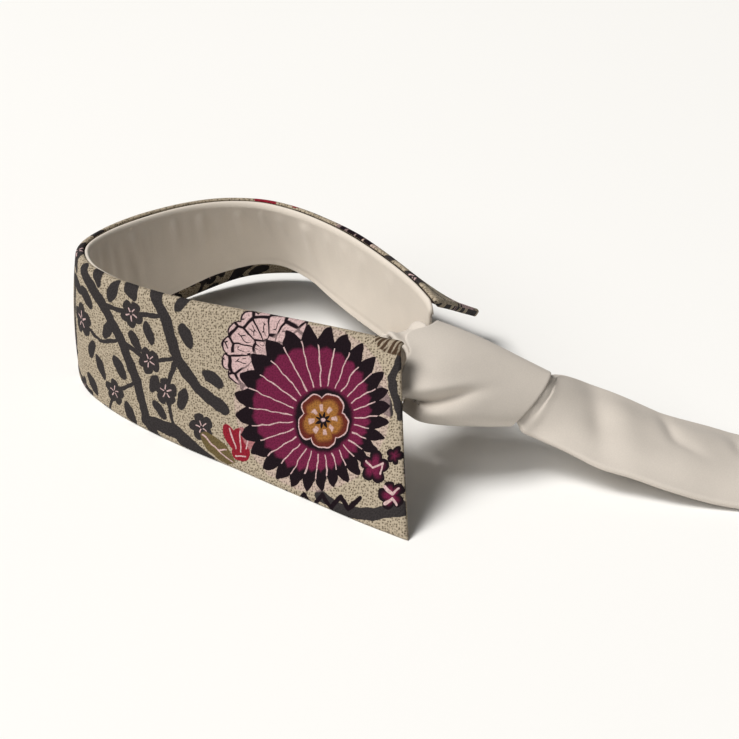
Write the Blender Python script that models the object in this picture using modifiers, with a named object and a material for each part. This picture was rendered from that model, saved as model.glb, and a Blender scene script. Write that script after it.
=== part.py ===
"""Detachable shirt collar with its own tied band, standing by itself on a table.

The collar is folded at its top edge. A printed fall hangs outside the fold and spreads to two
points, a cream stand hangs inside it, and a cream band comes out of the stand's two ends. The band
is tied in a four-in-hand knot: it rises through the neck loop, turns over and passes down under the
front wrap as a wide blade, which slopes to the table and lies along it over its own narrow tail.

+Z is up, the tie runs towards -Y, and the neck loop lies behind it. Every piece is a sheet of cloth
given its thickness, about 0.3 mm clear of the next one. Sizes and tables are in millimetres. ORIGIN
is the middle of the whole outline in them, and the model is in metres from there.
"""
import bpy
import numpy as np

MM = 0.001
UP = np.array([0.0, 0.0, 1.0])
ORIGIN = np.array([-19.42, -104.75, 0.0])

# Thickness of each cloth, the gap that is kept between neighbours, and the wider one that the
# seam between fall and stand needs, because their edges meet at an angle.
GAP = 0.3
SEAM_GAP = 0.9
UPPER_THICK = 1.3
UNDER_THICK = 1.0
STAND_THICK = 1.4
BAND_THICK = 1.8
WRAP_THICK = 1.5
BLADE_THICK = 2.4

# The fold: its height over the table, the radius of the roll, and where round the roll the printed
# cloth meets the stand, in degrees from straight out. FALL_CROWN is how far the fall bulges outward
# between fold and hem.
FOLD_HEIGHT = 50.0
ROLL_RADIUS = 1.9
SEAM_ANGLE = 118.0
FALL_CROWN = 1.3

# The under collar starts this share of a step below the roll, and its ends stand this far back
# from the points.
UNDER_START = 0.10
UNDER_INSET = 0.6

# Stations along each piece and points across it.
COLLAR_STATIONS = 57
STAND_STATIONS = 113
ROLL_POINTS = 4
FALL_POINTS = 6
UNDER_POINTS = 5
STAND_ROLL_POINTS = 3
STAND_POINTS = 4

# The collar from the near point, round the back of the neck, to the far point.
# fold_x, fold_y: middle of the fold; hem_x, hem_y, hem_z: lower edge of the fall, which is cut
# flush with the table where hem_z is below zero; stand_z: lower edge of the stand; stand_out: how
# far that edge stands outside the fold.
COLLAR_SECTIONS = (
    # fold_x, fold_y, hem_x, hem_y, hem_z, stand_z, stand_out
    (-60.0, -37.0, -94.0, -53.0, -0.8, 19.0, 1.0),
    (-59.4, -23.0, -90.4, -34.5, -0.8, 18.0, 3.0),
    (-59.2, -8.5, -86.4, -18.0, -0.8, 18.0, 4.0),
    (-59.6, 8.0, -82.0, 0.0, -0.8, 18.0, 4.0),
    (-60.4, 24.0, -77.6, 17.0, -0.8, 17.0, 4.0),
    (-60.6, 40.0, -73.4, 36.0, -0.8, 16.0, 4.0),
    (-59.2, 56.0, -67.6, 56.3, -0.8, 15.0, 3.0),
    (-55.8, 71.6, -60.8, 73.8, -0.8, 14.0, 2.0),
    (-49.2, 85.4, -52.2, 88.2, -0.8, 14.0, 1.0),
    (-37.8, 93.8, -38.6, 98.2, -0.8, 14.0, 0.0),
    (-23.5, 93.2, -20.0, 99.6, -0.8, 14.0, 0.0),
    (-8.4, 87.2, 3.0, 96.5, -0.4, 14.0, 0.0),
    (5.8, 78.2, 26.0, 86.6, 1.5, 14.5, 3.0),
    (16.0, 66.8, 43.6, 73.5, 4.0, 16.0, 9.0),
    (20.9, 53.3, 53.4, 57.0, 5.0, 18.0, 13.0),
    (19.7, 38.4, 54.8, 39.0, 6.0, 18.0, 9.0),
    (14.2, 22.5, 52.8, 22.0, 7.5, 18.0, 3.0),
    (5.9, 7.6, 48.4, 6.0, 9.0, 18.0, 0.0),
    (-6.0, -9.2, 42.0, -8.0, 11.0, 18.0, 0.0),
    (-18.0, -24.2, 37.0, -19.5, 12.5, 18.5, 0.0),
    (-29.0, -36.4, 35.0, -29.5, 13.0, 19.0, 0.0),
)

# The stand stops this share of its length short of the near corner, where the knot's edge lies.
STAND_NEAR_END = 0.02

# Gathers of the stand's lining, as places in the table above, with the height of each ridge. Over
# the height of the stand a ridge follows a sine between these two parts of its half turn.
GATHER_TOP = 0.15
GATHER_FOOT = 0.85
GATHER_WIDTH = 0.13
GATHERS = (
    # place, rise
    (1.9, 0.3), (3.1, 0.5), (4.0, 0.4), (4.9, 0.6), (5.8, 0.5), (6.7, 0.6), (7.6, 0.5),
    (8.4, 0.4), (9.2, 0.5), (9.9, 0.5), (10.4, 0.6), (11.0, 0.4), (11.75, 0.7), (12.5, 0.7),
    (13.1, 0.5), (13.7, 0.6), (14.4, 0.6), (15.2, 0.5), (15.9, 0.4), (16.5, 0.4), (17.1, 0.3),
)

# The front wrap of the knot, from its mouth at the collar to its lower end.
# near and far: its two side edges; thick: its full depth there.
WRAP_STATIONS = 12
WRAP_POINTS = 26
WRAP_STEPS = 100
WRAP_SQUARENESS = 2.6
WRAP_SECTIONS = (
    # near_x, near_y, near_z, far_x, far_y, far_z, thick
    (-64.6, -37.4, 28.0, -31.8, -37.6, 42.8, 17.0),
    (-64.7, -45.4, 26.5, -30.0, -46.0, 40.0, 17.0),
    (-59.8, -53.8, 24.1, -29.0, -55.0, 37.4, 15.5),
    (-53.2, -60.2, 21.0, -28.4, -65.2, 34.2, 13.5),
    (-46.4, -66.4, 18.0, -27.3, -76.6, 30.5, 10.5),
)

# The dimple in the wrap's outer face: its depth, its place and width as shares of the half width,
# and the share of the wrap's length over which it fades.
DIMPLE_DEPTH = 2.2
DIMPLE_SIDE = 0.62
DIMPLE_WIDTH = 0.20
DIMPLE_REACH = 0.45

# A strip's arch has a flatter top than a plain squared cosine, by this share.
ARCH_FULLNESS = 1.2

# A strip's pointed end: how much it widens on each side for each millimetre from its tip.
TIP_TAPER = 1.0

# The blade inside the wrap: the place along it, then the distance of each edge across and out from
# the wrap's middle, and the lift of the strip's middle.
BLADE_INSIDE = (
    # place, near_side, near_lift, far_side, far_lift, crown
    (0.52, -7.6, 2.9, 7.6, 2.9, 0.9),
    (0.80, -8.2, 1.9, 8.2, 1.9, 0.9),
    (1.00, -8.2, 1.1, 8.2, 1.1, 0.9),
)

# The blade beyond the knot: its two edges at mid thickness, and how far its middle is lifted over
# the tail that lies under it. It starts to narrow to its point in the row before the last.
BLADE_STATIONS = 46
BLADE_POINTS = 9
BLADE_TIP_HALF = 1.0
BLADE_SECTIONS = (
    # near_x, near_y, near_z, far_x, far_y, far_z, crown
    (-44.6, -74.0, 17.2, -21.5, -79.0, 24.6, 1.0),
    (-45.2, -88.0, 13.8, -15.5, -88.0, 20.6, 1.5),
    (-45.2, -100.0, 10.8, -12.5, -100.0, 16.2, 2.0),
    (-44.2, -112.0, 8.0, -8.8, -112.0, 12.0, 2.6),
    (-42.6, -125.0, 5.2, -2.8, -125.0, 7.2, 3.2),
    (-39.5, -139.0, 2.4, 2.8, -138.0, 2.8, 3.4),
    (-35.5, -155.0, 1.3, 8.4, -153.0, 1.3, 3.4),
    (-30.0, -180.0, 1.2, 15.0, -178.0, 1.2, 3.4),
    (-26.0, -206.0, 1.2, 19.8, -205.0, 1.2, 3.4),
    (-23.6, -232.0, 1.2, 22.8, -232.0, 1.2, 0.6),
    (-22.6, -262.0, 1.2, 24.4, -262.0, 1.2, 0.0),
    (-22.5, -287.3, 1.2, 24.8, -287.3, 1.2, 0.0),
    (-22.4, -310.0, 1.2, 25.0, -310.0, 1.2, 0.0),
)

# The tail, first inside the wrap and then under the blade, its edges at mid thickness.
TAIL_INSIDE = (
    # place, near_side, near_lift, far_side, far_lift
    (0.50, -6.5, -3.6, 6.0, -3.6),
    (0.80, -6.0, -2.6, 5.0, -2.6),
    (1.00, -6.0, -2.2, 4.0, -2.2),
)
TAIL_STATIONS = 34
TAIL_POINTS = 5
TAIL_TIP_HALF = 0.8
TAIL_SECTIONS = (
    # near_x, near_y, near_z, far_x, far_y, far_z
    (-38.5, -79.0, 13.4, -25.5, -80.0, 15.8),
    (-38.8, -92.0, 9.6, -21.0, -92.0, 12.0),
    (-37.6, -105.0, 5.4, -18.4, -105.0, 6.8),
    (-34.0, -119.0, 2.2, -14.4, -119.0, 2.8),
    (-29.6, -134.0, 0.9, -9.6, -134.0, 0.9),
    (-24.2, -152.0, 0.9, -4.2, -152.0, 0.9),
    (-18.0, -176.0, 0.9, 2.0, -176.0, 0.9),
    (-14.7, -194.8, 0.9, 5.3, -194.8, 0.9),
    (-13.2, -204.0, 0.9, 6.8, -204.0, 0.9),
)

# The stretch that rises through the neck loop and turns over the top of the knot. Inside the wrap
# it is nearly flat, and at its other end its middle lies PASS_HOLLOW below its edges.
PASS_STATIONS = 21
PASS_POINTS = 7
PASS_HOLLOW = 1.4
PASS_INSIDE = (
    # place, near_side, near_lift, far_side, far_lift
    (0.50, -6.6, 3.9, 8.0, 3.9),
    (0.25, -6.6, 4.4, 9.0, 4.6),
    (0.00, -7.0, 4.4, 10.0, 4.8),
)
PASS_SECTIONS = (
    # near_x, near_y, near_z, far_x, far_y, far_z
    (-50.5, -33.4, 45.2, -34.6, -33.6, 47.0),
    (-49.5, -29.0, 43.6, -34.0, -30.2, 44.6),
    (-48.8, -27.0, 35.0, -34.0, -28.4, 36.0),
    (-48.4, -28.0, 25.5, -35.0, -29.4, 26.5),
    (-49.0, -33.0, 21.6, -37.0, -34.0, 23.6),
    (-50.5, -39.0, 22.6, -39.0, -39.6, 25.8),
)

# The band between the end of the stand and the knot, on each side: lower edge, then upper edge, and
# after them its last stretch inside the wrap, under the pass.
NECK_STATIONS = 13
NECK_POINTS = 5
NECK_NEAR_SECTIONS = (
    # low_x, low_y, low_z, high_x, high_y, high_z
    (-58.2, -12.0, 21.0, -55.4, -12.0, 44.0),
    (-57.6, -22.0, 21.0, -55.2, -22.0, 44.0),
    (-56.8, -31.0, 25.0, -56.0, -31.0, 38.0),
)
NECK_NEAR_INSIDE = (
    # place, low_side, low_lift, high_side, high_lift
    (0.06, -6.5, -5.0, -5.5, 2.0),
    (0.30, -4.5, -4.2, -4.0, 1.8),
)
NECK_FAR_SECTIONS = (
    # low_x, low_y, low_z, high_x, high_y, high_z
    (-10.6, -8.6, 20.0, -10.6, -8.6, 25.0),
    (-21.0, -21.8, 20.0, -21.0, -21.8, 38.5),
    (-28.4, -29.0, 24.0, -28.2, -29.2, 44.6),
    (-35.4, -34.0, 35.8, -35.8, -34.2, 42.6),
)
NECK_FAR_INSIDE = (
    # place, low_side, low_lift, high_side, high_lift
    (0.06, 6.5, -4.2, 7.5, 2.2),
    (0.30, 4.5, -4.0, 4.8, 1.8),
)

CREAM = (0.80, 0.74, 0.64, 1.0)
PRINT = (0.16, 0.12, 0.11, 1.0)
PRINT_UNDER = (0.10, 0.07, 0.07, 1.0)
CREPE_ROUGHNESS = 0.8
LINING_ROUGHNESS = 0.75

TABLE_BLOCK_WIDTH = 600.0
TABLE_BLOCK_LENGTH = 800.0
TABLE_BLOCK_DEPTH = 10.0


def smooth_rows(rows, count):
    """The rows of a table read off a Catmull-Rom curve through them, at even steps."""
    table = np.array(rows, dtype=float)
    padded = np.vstack([2 * table[0] - table[1], table, 2 * table[-1] - table[-2]])
    place = np.linspace(0, len(table) - 1, count)
    cell = np.minimum(place.astype(int), len(table) - 2)
    t = (place - cell)[:, None]
    before, start, end, after = (padded[cell + step] for step in range(4))
    slope = end - before
    bend = 2 * before - 5 * start + 4 * end - after
    twist = 3 * (start - end) + after - before
    return start + 0.5 * t * (slope + t * (bend + t * twist))


def unit(vectors):
    """Each vector at length one."""
    return vectors / np.linalg.norm(vectors, axis=-1, keepdims=True)


def surface_normals(surface):
    """Unit normals of a grid of points, pointing along (first direction) x (second direction)."""
    along = np.gradient(surface, axis=0)
    across = np.gradient(surface, axis=1)
    return unit(np.cross(along, across))


def cloth_object(name, surface, thick, material, offset=0.0, closed=False):
    """A sheet of cloth: an open grid of points, in table millimetres, given its thickness."""
    rows, columns = surface.shape[:2]
    points = ((surface - ORIGIN) * MM).reshape(-1, 3)
    row, column = np.meshgrid(np.arange(rows - 1), np.arange(columns if closed else columns - 1),
                              indexing="ij")
    beside = (column + 1) % columns
    faces = np.stack([row * columns + column, (row + 1) * columns + column,
                      (row + 1) * columns + beside, row * columns + beside], axis=-1)
    mesh = bpy.data.meshes.new(name)
    mesh.from_pydata(points.tolist(), [], faces.reshape(-1, 4).tolist())
    mesh.shade_smooth()
    mesh.materials.append(material)
    sheet = bpy.data.objects.new(name, mesh)
    garment.objects.link(sheet)
    wall = sheet.modifiers.new("Cloth thickness", 'SOLIDIFY')
    wall.thickness = thick * MM
    wall.offset = offset
    wall.use_rim = True
    return sheet


def cloth_material(name, colour, roughness):
    """A plain woven cloth."""
    material = bpy.data.materials.new(name)
    material.use_nodes = True
    shader = material.node_tree.nodes["Principled BSDF"]
    shader.inputs["Base Color"].default_value = colour
    shader.inputs["Roughness"].default_value = roughness
    shader.inputs["Metallic"].default_value = 0.0
    return material


def cut_flush_with_table(sheet, table_top):
    """The lower edge of a leaning sheet gets a level face where it stands on the table."""
    cut = sheet.modifiers.new("Flush with the table", 'BOOLEAN')
    cut.operation = 'DIFFERENCE'
    cut.solver = 'EXACT'
    cut.object = table_top


def make_table_cutter():
    """A block whose top is the table, for cutting hems level."""
    size = np.array([TABLE_BLOCK_WIDTH, TABLE_BLOCK_LENGTH, TABLE_BLOCK_DEPTH]) * MM
    bpy.ops.mesh.primitive_cube_add(size=1.0, location=(0.0, 0.0, -size[2] / 2))
    block = bpy.context.active_object
    block.name = "table_top_cutter"
    block.scale = size
    bpy.ops.object.transform_apply(location=False, rotation=False, scale=True)
    for collection in list(block.users_collection):
        collection.objects.unlink(block)
    cutters.objects.link(block)
    block.hide_render = True
    block.display_type = 'WIRE'
    return block


def collar_frame(count):
    """Fold points, outward directions, hem points and stand columns at evenly spaced stations."""
    rows = smooth_rows(COLLAR_SECTIONS, count)
    fold = np.column_stack([rows[:, 0], rows[:, 1], np.full(count, FOLD_HEIGHT)])
    along = unit(np.gradient(fold, axis=0))
    outward = np.column_stack([-along[:, 1], along[:, 0], np.zeros(count)])
    return fold, outward, rows[:, 2:5], rows[:, 5], rows[:, 6]


def fall_surface(count):
    """The middle of the upper collar, from its seam over the roll and down to the hem.

    The roll is an arc about a line under the fold. It leaves the arc where the arc's slope meets
    the straight way to the hem, and from there the fall is that way with a slight outward crown.
    """
    fold, outward, hem, _, _ = collar_frame(count)
    centre = fold - UP * (ROLL_RADIUS + UPPER_THICK / 2)
    spread = np.linalg.norm((hem - centre)[:, :2], axis=1)
    flare = np.arctan2(spread, (centre - hem)[:, 2])
    seam = np.radians(SEAM_ANGLE) - SEAM_GAP / ROLL_RADIUS / 2
    columns = []
    for step in range(ROLL_POINTS):
        angle = (seam + (flare - seam) * step / (ROLL_POINTS - 1))[:, None]
        columns.append(centre + ROLL_RADIUS * (outward * np.cos(angle) + UP * np.sin(angle)))
    start = columns[-1]
    way = hem - start
    side = unit(np.cross(np.gradient(start, axis=0), way))
    for step in range(1, FALL_POINTS):
        t = step / (FALL_POINTS - 1)
        columns.append(start + way * t + side * FALL_CROWN * 4 * t * (1 - t))
    return np.stack(columns, axis=1)


def under_surface(fall):
    """The middle of the under collar: the fall below its roll, moved in by both half thicknesses."""
    inward = (UPPER_THICK + UNDER_THICK) / 2 + GAP
    moved = fall - surface_normals(fall) * inward
    hanging = moved[:, ROLL_POINTS - 1:]
    level = np.linspace(UNDER_START, FALL_POINTS - 1, UNDER_POINTS)
    cell = np.minimum(level.astype(int), FALL_POINTS - 2)
    share = (level - cell)[:, None]
    sheet = hanging[:, cell] * (1 - share) + hanging[:, cell + 1] * share
    for end, beside in ((0, 1), (-1, -2)):
        step = sheet[beside] - sheet[end]
        sheet[end] += unit(step) * UNDER_INSET
    return sheet


def stand_surface(count):
    """The middle of the stand: from the seam round the inner side of the roll, then down.

    Each gather swells the cloth inwards, most at mid height.
    """
    fold, outward, _, stand_z, stand_out = collar_frame(count)
    place = np.linspace(0, len(COLLAR_SECTIONS) - 1, count)
    ridge = sum(rise * np.exp(-((place - spot) / GATHER_WIDTH) ** 2) for spot, rise in GATHERS)
    centre = fold - UP * (ROLL_RADIUS + UPPER_THICK / 2)
    seam = np.radians(SEAM_ANGLE) + SEAM_GAP / ROLL_RADIUS / 2
    columns = []
    for step in range(STAND_ROLL_POINTS):
        angle = seam + (np.pi - seam) * step / (STAND_ROLL_POINTS - 1)
        columns.append(centre + ROLL_RADIUS * (outward * np.cos(angle) + UP * np.sin(angle)))
    top = columns[-1]
    foot = top + outward * stand_out[:, None]
    foot[:, 2] = stand_z
    for step in range(1, STAND_POINTS):
        t = step / (STAND_POINTS - 1)
        swell = ridge * np.sin(np.pi * (GATHER_TOP + (GATHER_FOOT - GATHER_TOP) * t))
        columns.append(top + (foot - top) * t - outward * swell[:, None])
    surface = np.stack(columns, axis=1)
    return surface[round(STAND_NEAR_END * (count - 1)):]


def wrap_frame(places):
    """Centre, unit across, unit outward, half width and half depth of the wrap at places 0 to 1."""
    rows = smooth_rows(WRAP_SECTIONS, WRAP_STEPS + 1)
    centre_line = (rows[:, 0:3] + rows[:, 3:6]) / 2
    axis_line = unit(np.gradient(centre_line, axis=0))
    index = np.round(np.asarray(places) * WRAP_STEPS).astype(int)
    near, far = rows[index, 0:3], rows[index, 3:6]
    across = far - near
    half_width = np.linalg.norm(across, axis=1) / 2
    across = unit(across)
    outward = unit(np.cross(axis_line[index], across))
    return (near + far) / 2, across, outward, half_width, rows[index, 6] / 2


def wrap_surface():
    """The wrap's outer face: a flattened ring at each place, with the dimple pressed into it."""
    places = np.linspace(0, 1, WRAP_STATIONS)
    centre, across, outward, half_width, half_depth = wrap_frame(places)
    angle = -2 * np.pi * np.arange(WRAP_POINTS) / WRAP_POINTS
    power = 2 / WRAP_SQUARENESS
    side = np.sign(np.cos(angle)) * np.abs(np.cos(angle)) ** power
    lift = np.sign(np.sin(angle)) * np.abs(np.sin(angle)) ** power
    reach = np.exp(-(places / DIMPLE_REACH) ** 2)
    press = np.exp(-((side + DIMPLE_SIDE) / DIMPLE_WIDTH) ** 2) * (lift > 0)
    depth = lift * half_depth[:, None] - DIMPLE_DEPTH * reach[:, None] * press
    return (centre[:, None] + across[:, None] * (side * half_width[:, None])[..., None]
            + outward[:, None] * depth[..., None])


def inside_wrap(rows):
    """The rows of a strip inside the wrap as edge points, with any column after them kept."""
    table = np.array(rows, dtype=float)
    centre, across, outward, _, _ = wrap_frame(table[:, 0])
    near = centre + across * table[:, 1:2] + outward * table[:, 2:3]
    far = centre + across * table[:, 3:4] + outward * table[:, 4:5]
    return np.hstack([near, far, table[:, 5:]])


def strip_surface(table, points, thick, crown=None, tip_half=None):
    """A strip between two edges, lifted in its middle by crown and cut to a point at its end.

    Nowhere does its middle lie lower than half its thickness, so it lies on the table.
    """
    one, other = table[:, 0:3], table[:, 3:6]
    middle = (one + other) / 2
    half = (other - one) / 2
    if tip_half is not None:
        step = np.linalg.norm(np.diff(middle, axis=0), axis=1)
        left = np.append(np.cumsum(step[::-1])[::-1], 0.0)
        width = np.linalg.norm(half, axis=1)
        half = half * (np.minimum(width, tip_half + left * TIP_TAPER) / width)[:, None]
    side = np.linspace(-1, 1, points)
    surface = middle[:, None] + half[:, None] * side[None, :, None]
    if crown is not None:
        lift = unit(np.cross(half, np.gradient(middle, axis=0)))
        lift = lift * np.sign(lift[:, 2:3])
        quarter = np.pi / 2 * side
        arch = np.cos(quarter) ** 2 * (1 + ARCH_FULLNESS * np.sin(quarter) ** 2)
        surface = surface + lift[:, None] * (crown[:, None] * arch)[..., None]
    surface[..., 2] = np.maximum(surface[..., 2], thick / 2)
    return surface


def make_fall(table_top):
    """The printed upper collar, which rolls over the fold, and the under collar behind it."""
    fall = fall_surface(COLLAR_STATIONS)
    upper = cloth_object("upper_collar", fall, UPPER_THICK,
                         cloth_material("printed crepe", PRINT, CREPE_ROUGHNESS))
    under = cloth_object("under_collar", under_surface(fall), UNDER_THICK,
                         cloth_material("printed crepe, under side", PRINT_UNDER, CREPE_ROUGHNESS))
    cut_flush_with_table(upper, table_top)
    cut_flush_with_table(under, table_top)


def make_stand():
    """The cream stand inside the fold."""
    cloth_object("collar_stand", stand_surface(STAND_STATIONS), STAND_THICK,
                 cloth_material("cream lining", CREAM, LINING_ROUGHNESS))


def make_neck_bands():
    """The tie band from the stand's ends into the knot, which it enters under the pass."""
    sides = (("neck_band_near", NECK_NEAR_SECTIONS, NECK_NEAR_INSIDE),
             ("neck_band_far", NECK_FAR_SECTIONS, NECK_FAR_INSIDE))
    for name, sections, inside in sides:
        table = smooth_rows(np.vstack([sections, inside_wrap(inside)]), NECK_STATIONS)
        cloth_object(name, strip_surface(table, NECK_POINTS, BAND_THICK), BAND_THICK,
                     cloth_material("cream crepe, " + name, CREAM, CREPE_ROUGHNESS))


def make_knot():
    """The front wrap as a sleeve, and the stretch that turns over the knot and down into it."""
    cloth_object("knot_wrap", wrap_surface(), WRAP_THICK,
                 cloth_material("cream crepe, wrap", CREAM, CREPE_ROUGHNESS), offset=-1.0, closed=True)
    table = smooth_rows(np.vstack([inside_wrap(PASS_INSIDE), PASS_SECTIONS]), PASS_STATIONS)
    hollow = -PASS_HOLLOW * np.sqrt(np.linspace(0, 1, PASS_STATIONS))
    cloth_object("knot_pass", strip_surface(table, PASS_POINTS, BAND_THICK, hollow), BAND_THICK,
                 cloth_material("cream crepe, pass", CREAM, CREPE_ROUGHNESS))


def make_blade():
    """The wide front end of the tie."""
    table = smooth_rows(np.vstack([inside_wrap(BLADE_INSIDE), BLADE_SECTIONS]), BLADE_STATIONS)
    surface = strip_surface(table[:, 0:6], BLADE_POINTS, BLADE_THICK, table[:, 6], BLADE_TIP_HALF)
    cloth_object("front_blade", surface, BLADE_THICK,
                 cloth_material("cream crepe, blade", CREAM, CREPE_ROUGHNESS))


def make_tail():
    """The narrow back end of the tie, which lies on the table under the blade."""
    table = smooth_rows(np.vstack([inside_wrap(TAIL_INSIDE), TAIL_SECTIONS]), TAIL_STATIONS)
    surface = strip_surface(table, TAIL_POINTS, BAND_THICK, tip_half=TAIL_TIP_HALF)
    cloth_object("back_tail", surface, BAND_THICK,
                 cloth_material("cream crepe, tail", CREAM, CREPE_ROUGHNESS))


for leftover in list(bpy.data.objects):
    bpy.data.objects.remove(leftover, do_unlink=True)
garment = bpy.data.collections.new("detachable_collar_tie")
cutters = bpy.data.collections.new("cutters")
bpy.context.scene.collection.children.link(garment)
bpy.context.scene.collection.children.link(cutters)

table_block = make_table_cutter()
make_fall(table_block)
make_stand()
make_neck_bands()
make_knot()
make_blade()
make_tail()
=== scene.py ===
"""Detachable shirt collar in printed crepe with its own knotted cream tie, dressed for a close look.

The collar is a printed leaf, folded over its top edge and spread to two points, with a gathered cream
lining inside. A cream band comes out of the lining's two ends, is tied in a knot at the front and runs
out along the table as a wide blade over a narrow tail. Each stretch of cloth is a closed shell with
rounded edges round a middle surface, and the print is drawn in the millimetres of the flat cut.
"""
from math import radians

import bpy
import numpy as np
from bpy.props import FloatProperty, FloatVectorProperty, PointerProperty
from mathutils import Matrix, Vector


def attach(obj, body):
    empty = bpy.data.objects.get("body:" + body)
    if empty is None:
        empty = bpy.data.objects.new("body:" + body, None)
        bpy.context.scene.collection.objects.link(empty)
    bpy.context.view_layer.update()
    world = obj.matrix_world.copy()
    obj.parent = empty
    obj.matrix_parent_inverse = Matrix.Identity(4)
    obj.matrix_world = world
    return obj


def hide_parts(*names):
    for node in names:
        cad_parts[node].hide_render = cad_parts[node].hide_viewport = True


bl_info = {
    "name": "Detachable Collar Tie",
    "version": (1, 0, 0),
    "blender": (4, 5, 0),
    "location": "View3D > Sidebar > Collar Tie",
    "description": "Builds a printed detachable collar with a knotted cream tie",
    "category": "Add Mesh",
}

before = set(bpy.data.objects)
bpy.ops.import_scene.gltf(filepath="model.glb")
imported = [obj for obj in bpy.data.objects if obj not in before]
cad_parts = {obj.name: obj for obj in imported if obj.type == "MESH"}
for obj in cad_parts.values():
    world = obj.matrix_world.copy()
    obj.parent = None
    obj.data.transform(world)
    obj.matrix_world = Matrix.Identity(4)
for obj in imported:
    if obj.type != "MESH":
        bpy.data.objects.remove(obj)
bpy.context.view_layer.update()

MM = 0.001
UP = np.array([0.0, 0.0, 1.0])
# The middle of the whole outline in the tables' millimetres.
ORIGIN = np.array([-19.42, -104.75, 0.0])

# Gap between neighbouring cloths, the wider one at the seam between leaf and lining, and the
# thickness of each cloth.
GAP = 0.3
SEAM_GAP = 0.5
UPPER_THICK = 1.3
UNDER_THICK = 1.0
LINING_THICK = 1.4
BAND_THICK = 1.8
WRAP_THICK = 1.5
BLADE_THICK = 2.4

# Stations round an edge's quarter circle, a length whose far end is too far away to be rounded, and
# the thickness below which a shell's two faces meet.
EDGE_STEPS = 6
ENDLESS = 1e4
CLOSED_THICK = 1e-6

# Places at which a table's curve is measured for its length, on a collar, a wrap and a strip.
COLLAR_FINE = 801
WRAP_FINE = 201
STRIP_FINE = 401

# The collar from the near point, round the back of the neck, to the far point.
COLLAR_SECTIONS = (
    # fold_x, fold_y, hem_x, hem_y, hem_z, lining_z, lining_out
    (-60.0, -37.0, -94.0, -53.0, 0.0, 19.0, 1.0),
    (-59.4, -23.0, -90.4, -34.5, 0.0, 18.0, 3.0),
    (-59.2, -8.5, -86.4, -18.0, 0.0, 18.0, 4.0),
    (-59.6, 8.0, -82.0, 0.0, 0.0, 18.0, 4.0),
    (-60.4, 24.0, -77.6, 17.0, 0.0, 17.0, 4.0),
    (-60.6, 40.0, -73.4, 36.0, 0.0, 16.0, 4.0),
    (-59.2, 56.0, -67.6, 56.3, 0.0, 15.0, 3.0),
    (-55.8, 71.6, -60.8, 73.8, 0.0, 14.0, 2.0),
    (-49.2, 85.4, -52.2, 88.2, 0.0, 14.0, 1.0),
    (-37.8, 93.8, -38.6, 98.2, 0.0, 14.0, 0.0),
    (-23.5, 93.2, -20.0, 99.6, 0.0, 14.0, 0.0),
    (-8.4, 87.2, 3.0, 96.5, 0.2, 14.0, 0.0),
    (5.8, 78.2, 26.0, 86.6, 1.5, 14.5, 3.0),
    (16.0, 66.8, 43.6, 73.5, 4.0, 16.0, 9.0),
    (20.9, 53.3, 53.4, 57.0, 5.0, 18.0, 13.0),
    (19.7, 38.4, 54.8, 39.0, 6.0, 18.0, 9.0),
    (14.2, 22.5, 52.8, 22.0, 7.5, 18.0, 3.0),
    (6.4, 7.3, 48.4, 6.0, 9.0, 18.0, 0.0),
    (-5.2, -9.8, 42.0, -8.0, 11.0, 18.0, 0.0),
    (-17.2, -24.8, 37.0, -19.5, 12.5, 18.5, 0.0),
    (-29.0, -36.4, 35.0, -29.5, 13.0, 19.0, 0.0),
)
# Turn of the seam round the roll in degrees from outward, on the near leaf and on the far one, and
# the leaf's outward bulge there in the same order. Both change between two places of the table.
SEAM_ANGLES = (134.0, 110.0)
SEAM_CHANGE = (6.0, 9.5)
FALL_CROWNS = (1.3, 0.2)
CROWN_CHANGE = (13.0, 17.0)

# The lining: where in the table it starts, the rounding of its upper far corner, its depth, the
# points along it, round the roll and down it, and the share of the roll where they crowd at its ends.
LINING_START = 0.4
LINING_CORNER = 4.0
LINING_DEPTH = 33.0
LINING_STATIONS = 420
LINING_ROLL_STATIONS = 6
LINING_FALL_STATIONS = 36
LINING_ROLL_EDGE = 0.4

# The row of stitches over the lining's foot: its height, half width and how far it pinches.
HEM_STITCH = 2.8
STITCH_WIDTH = 0.8
STITCH_PINCH = 0.45

# The place in the table above where the flat cut's ruling points straight down, and how far the
# under collar's cut lies from the upper one's on the printed cloth.
CUT_LEVEL_AT = 2.4
UNDER_CUT_SHIFT = (130.0, -25.0)

# The leaf's rounded edge, the points along it, round the roll and down the fall, the share of the
# roll where they crowd at its ends, the fall's usual depth, the width of the turnings and the two
# distances below the roll between which the under collar joins the upper one.
LEAF_EDGE = 1.5
LEAF_STATIONS = 300
ROLL_STATIONS = 10
ROLL_EDGE = 0.25
FALL_STATIONS = 42
FALL_DEPTH = 56.0
TURNING_WIDTH = 6.0
UNDER_JOINS = (1.0, 7.0)

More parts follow.
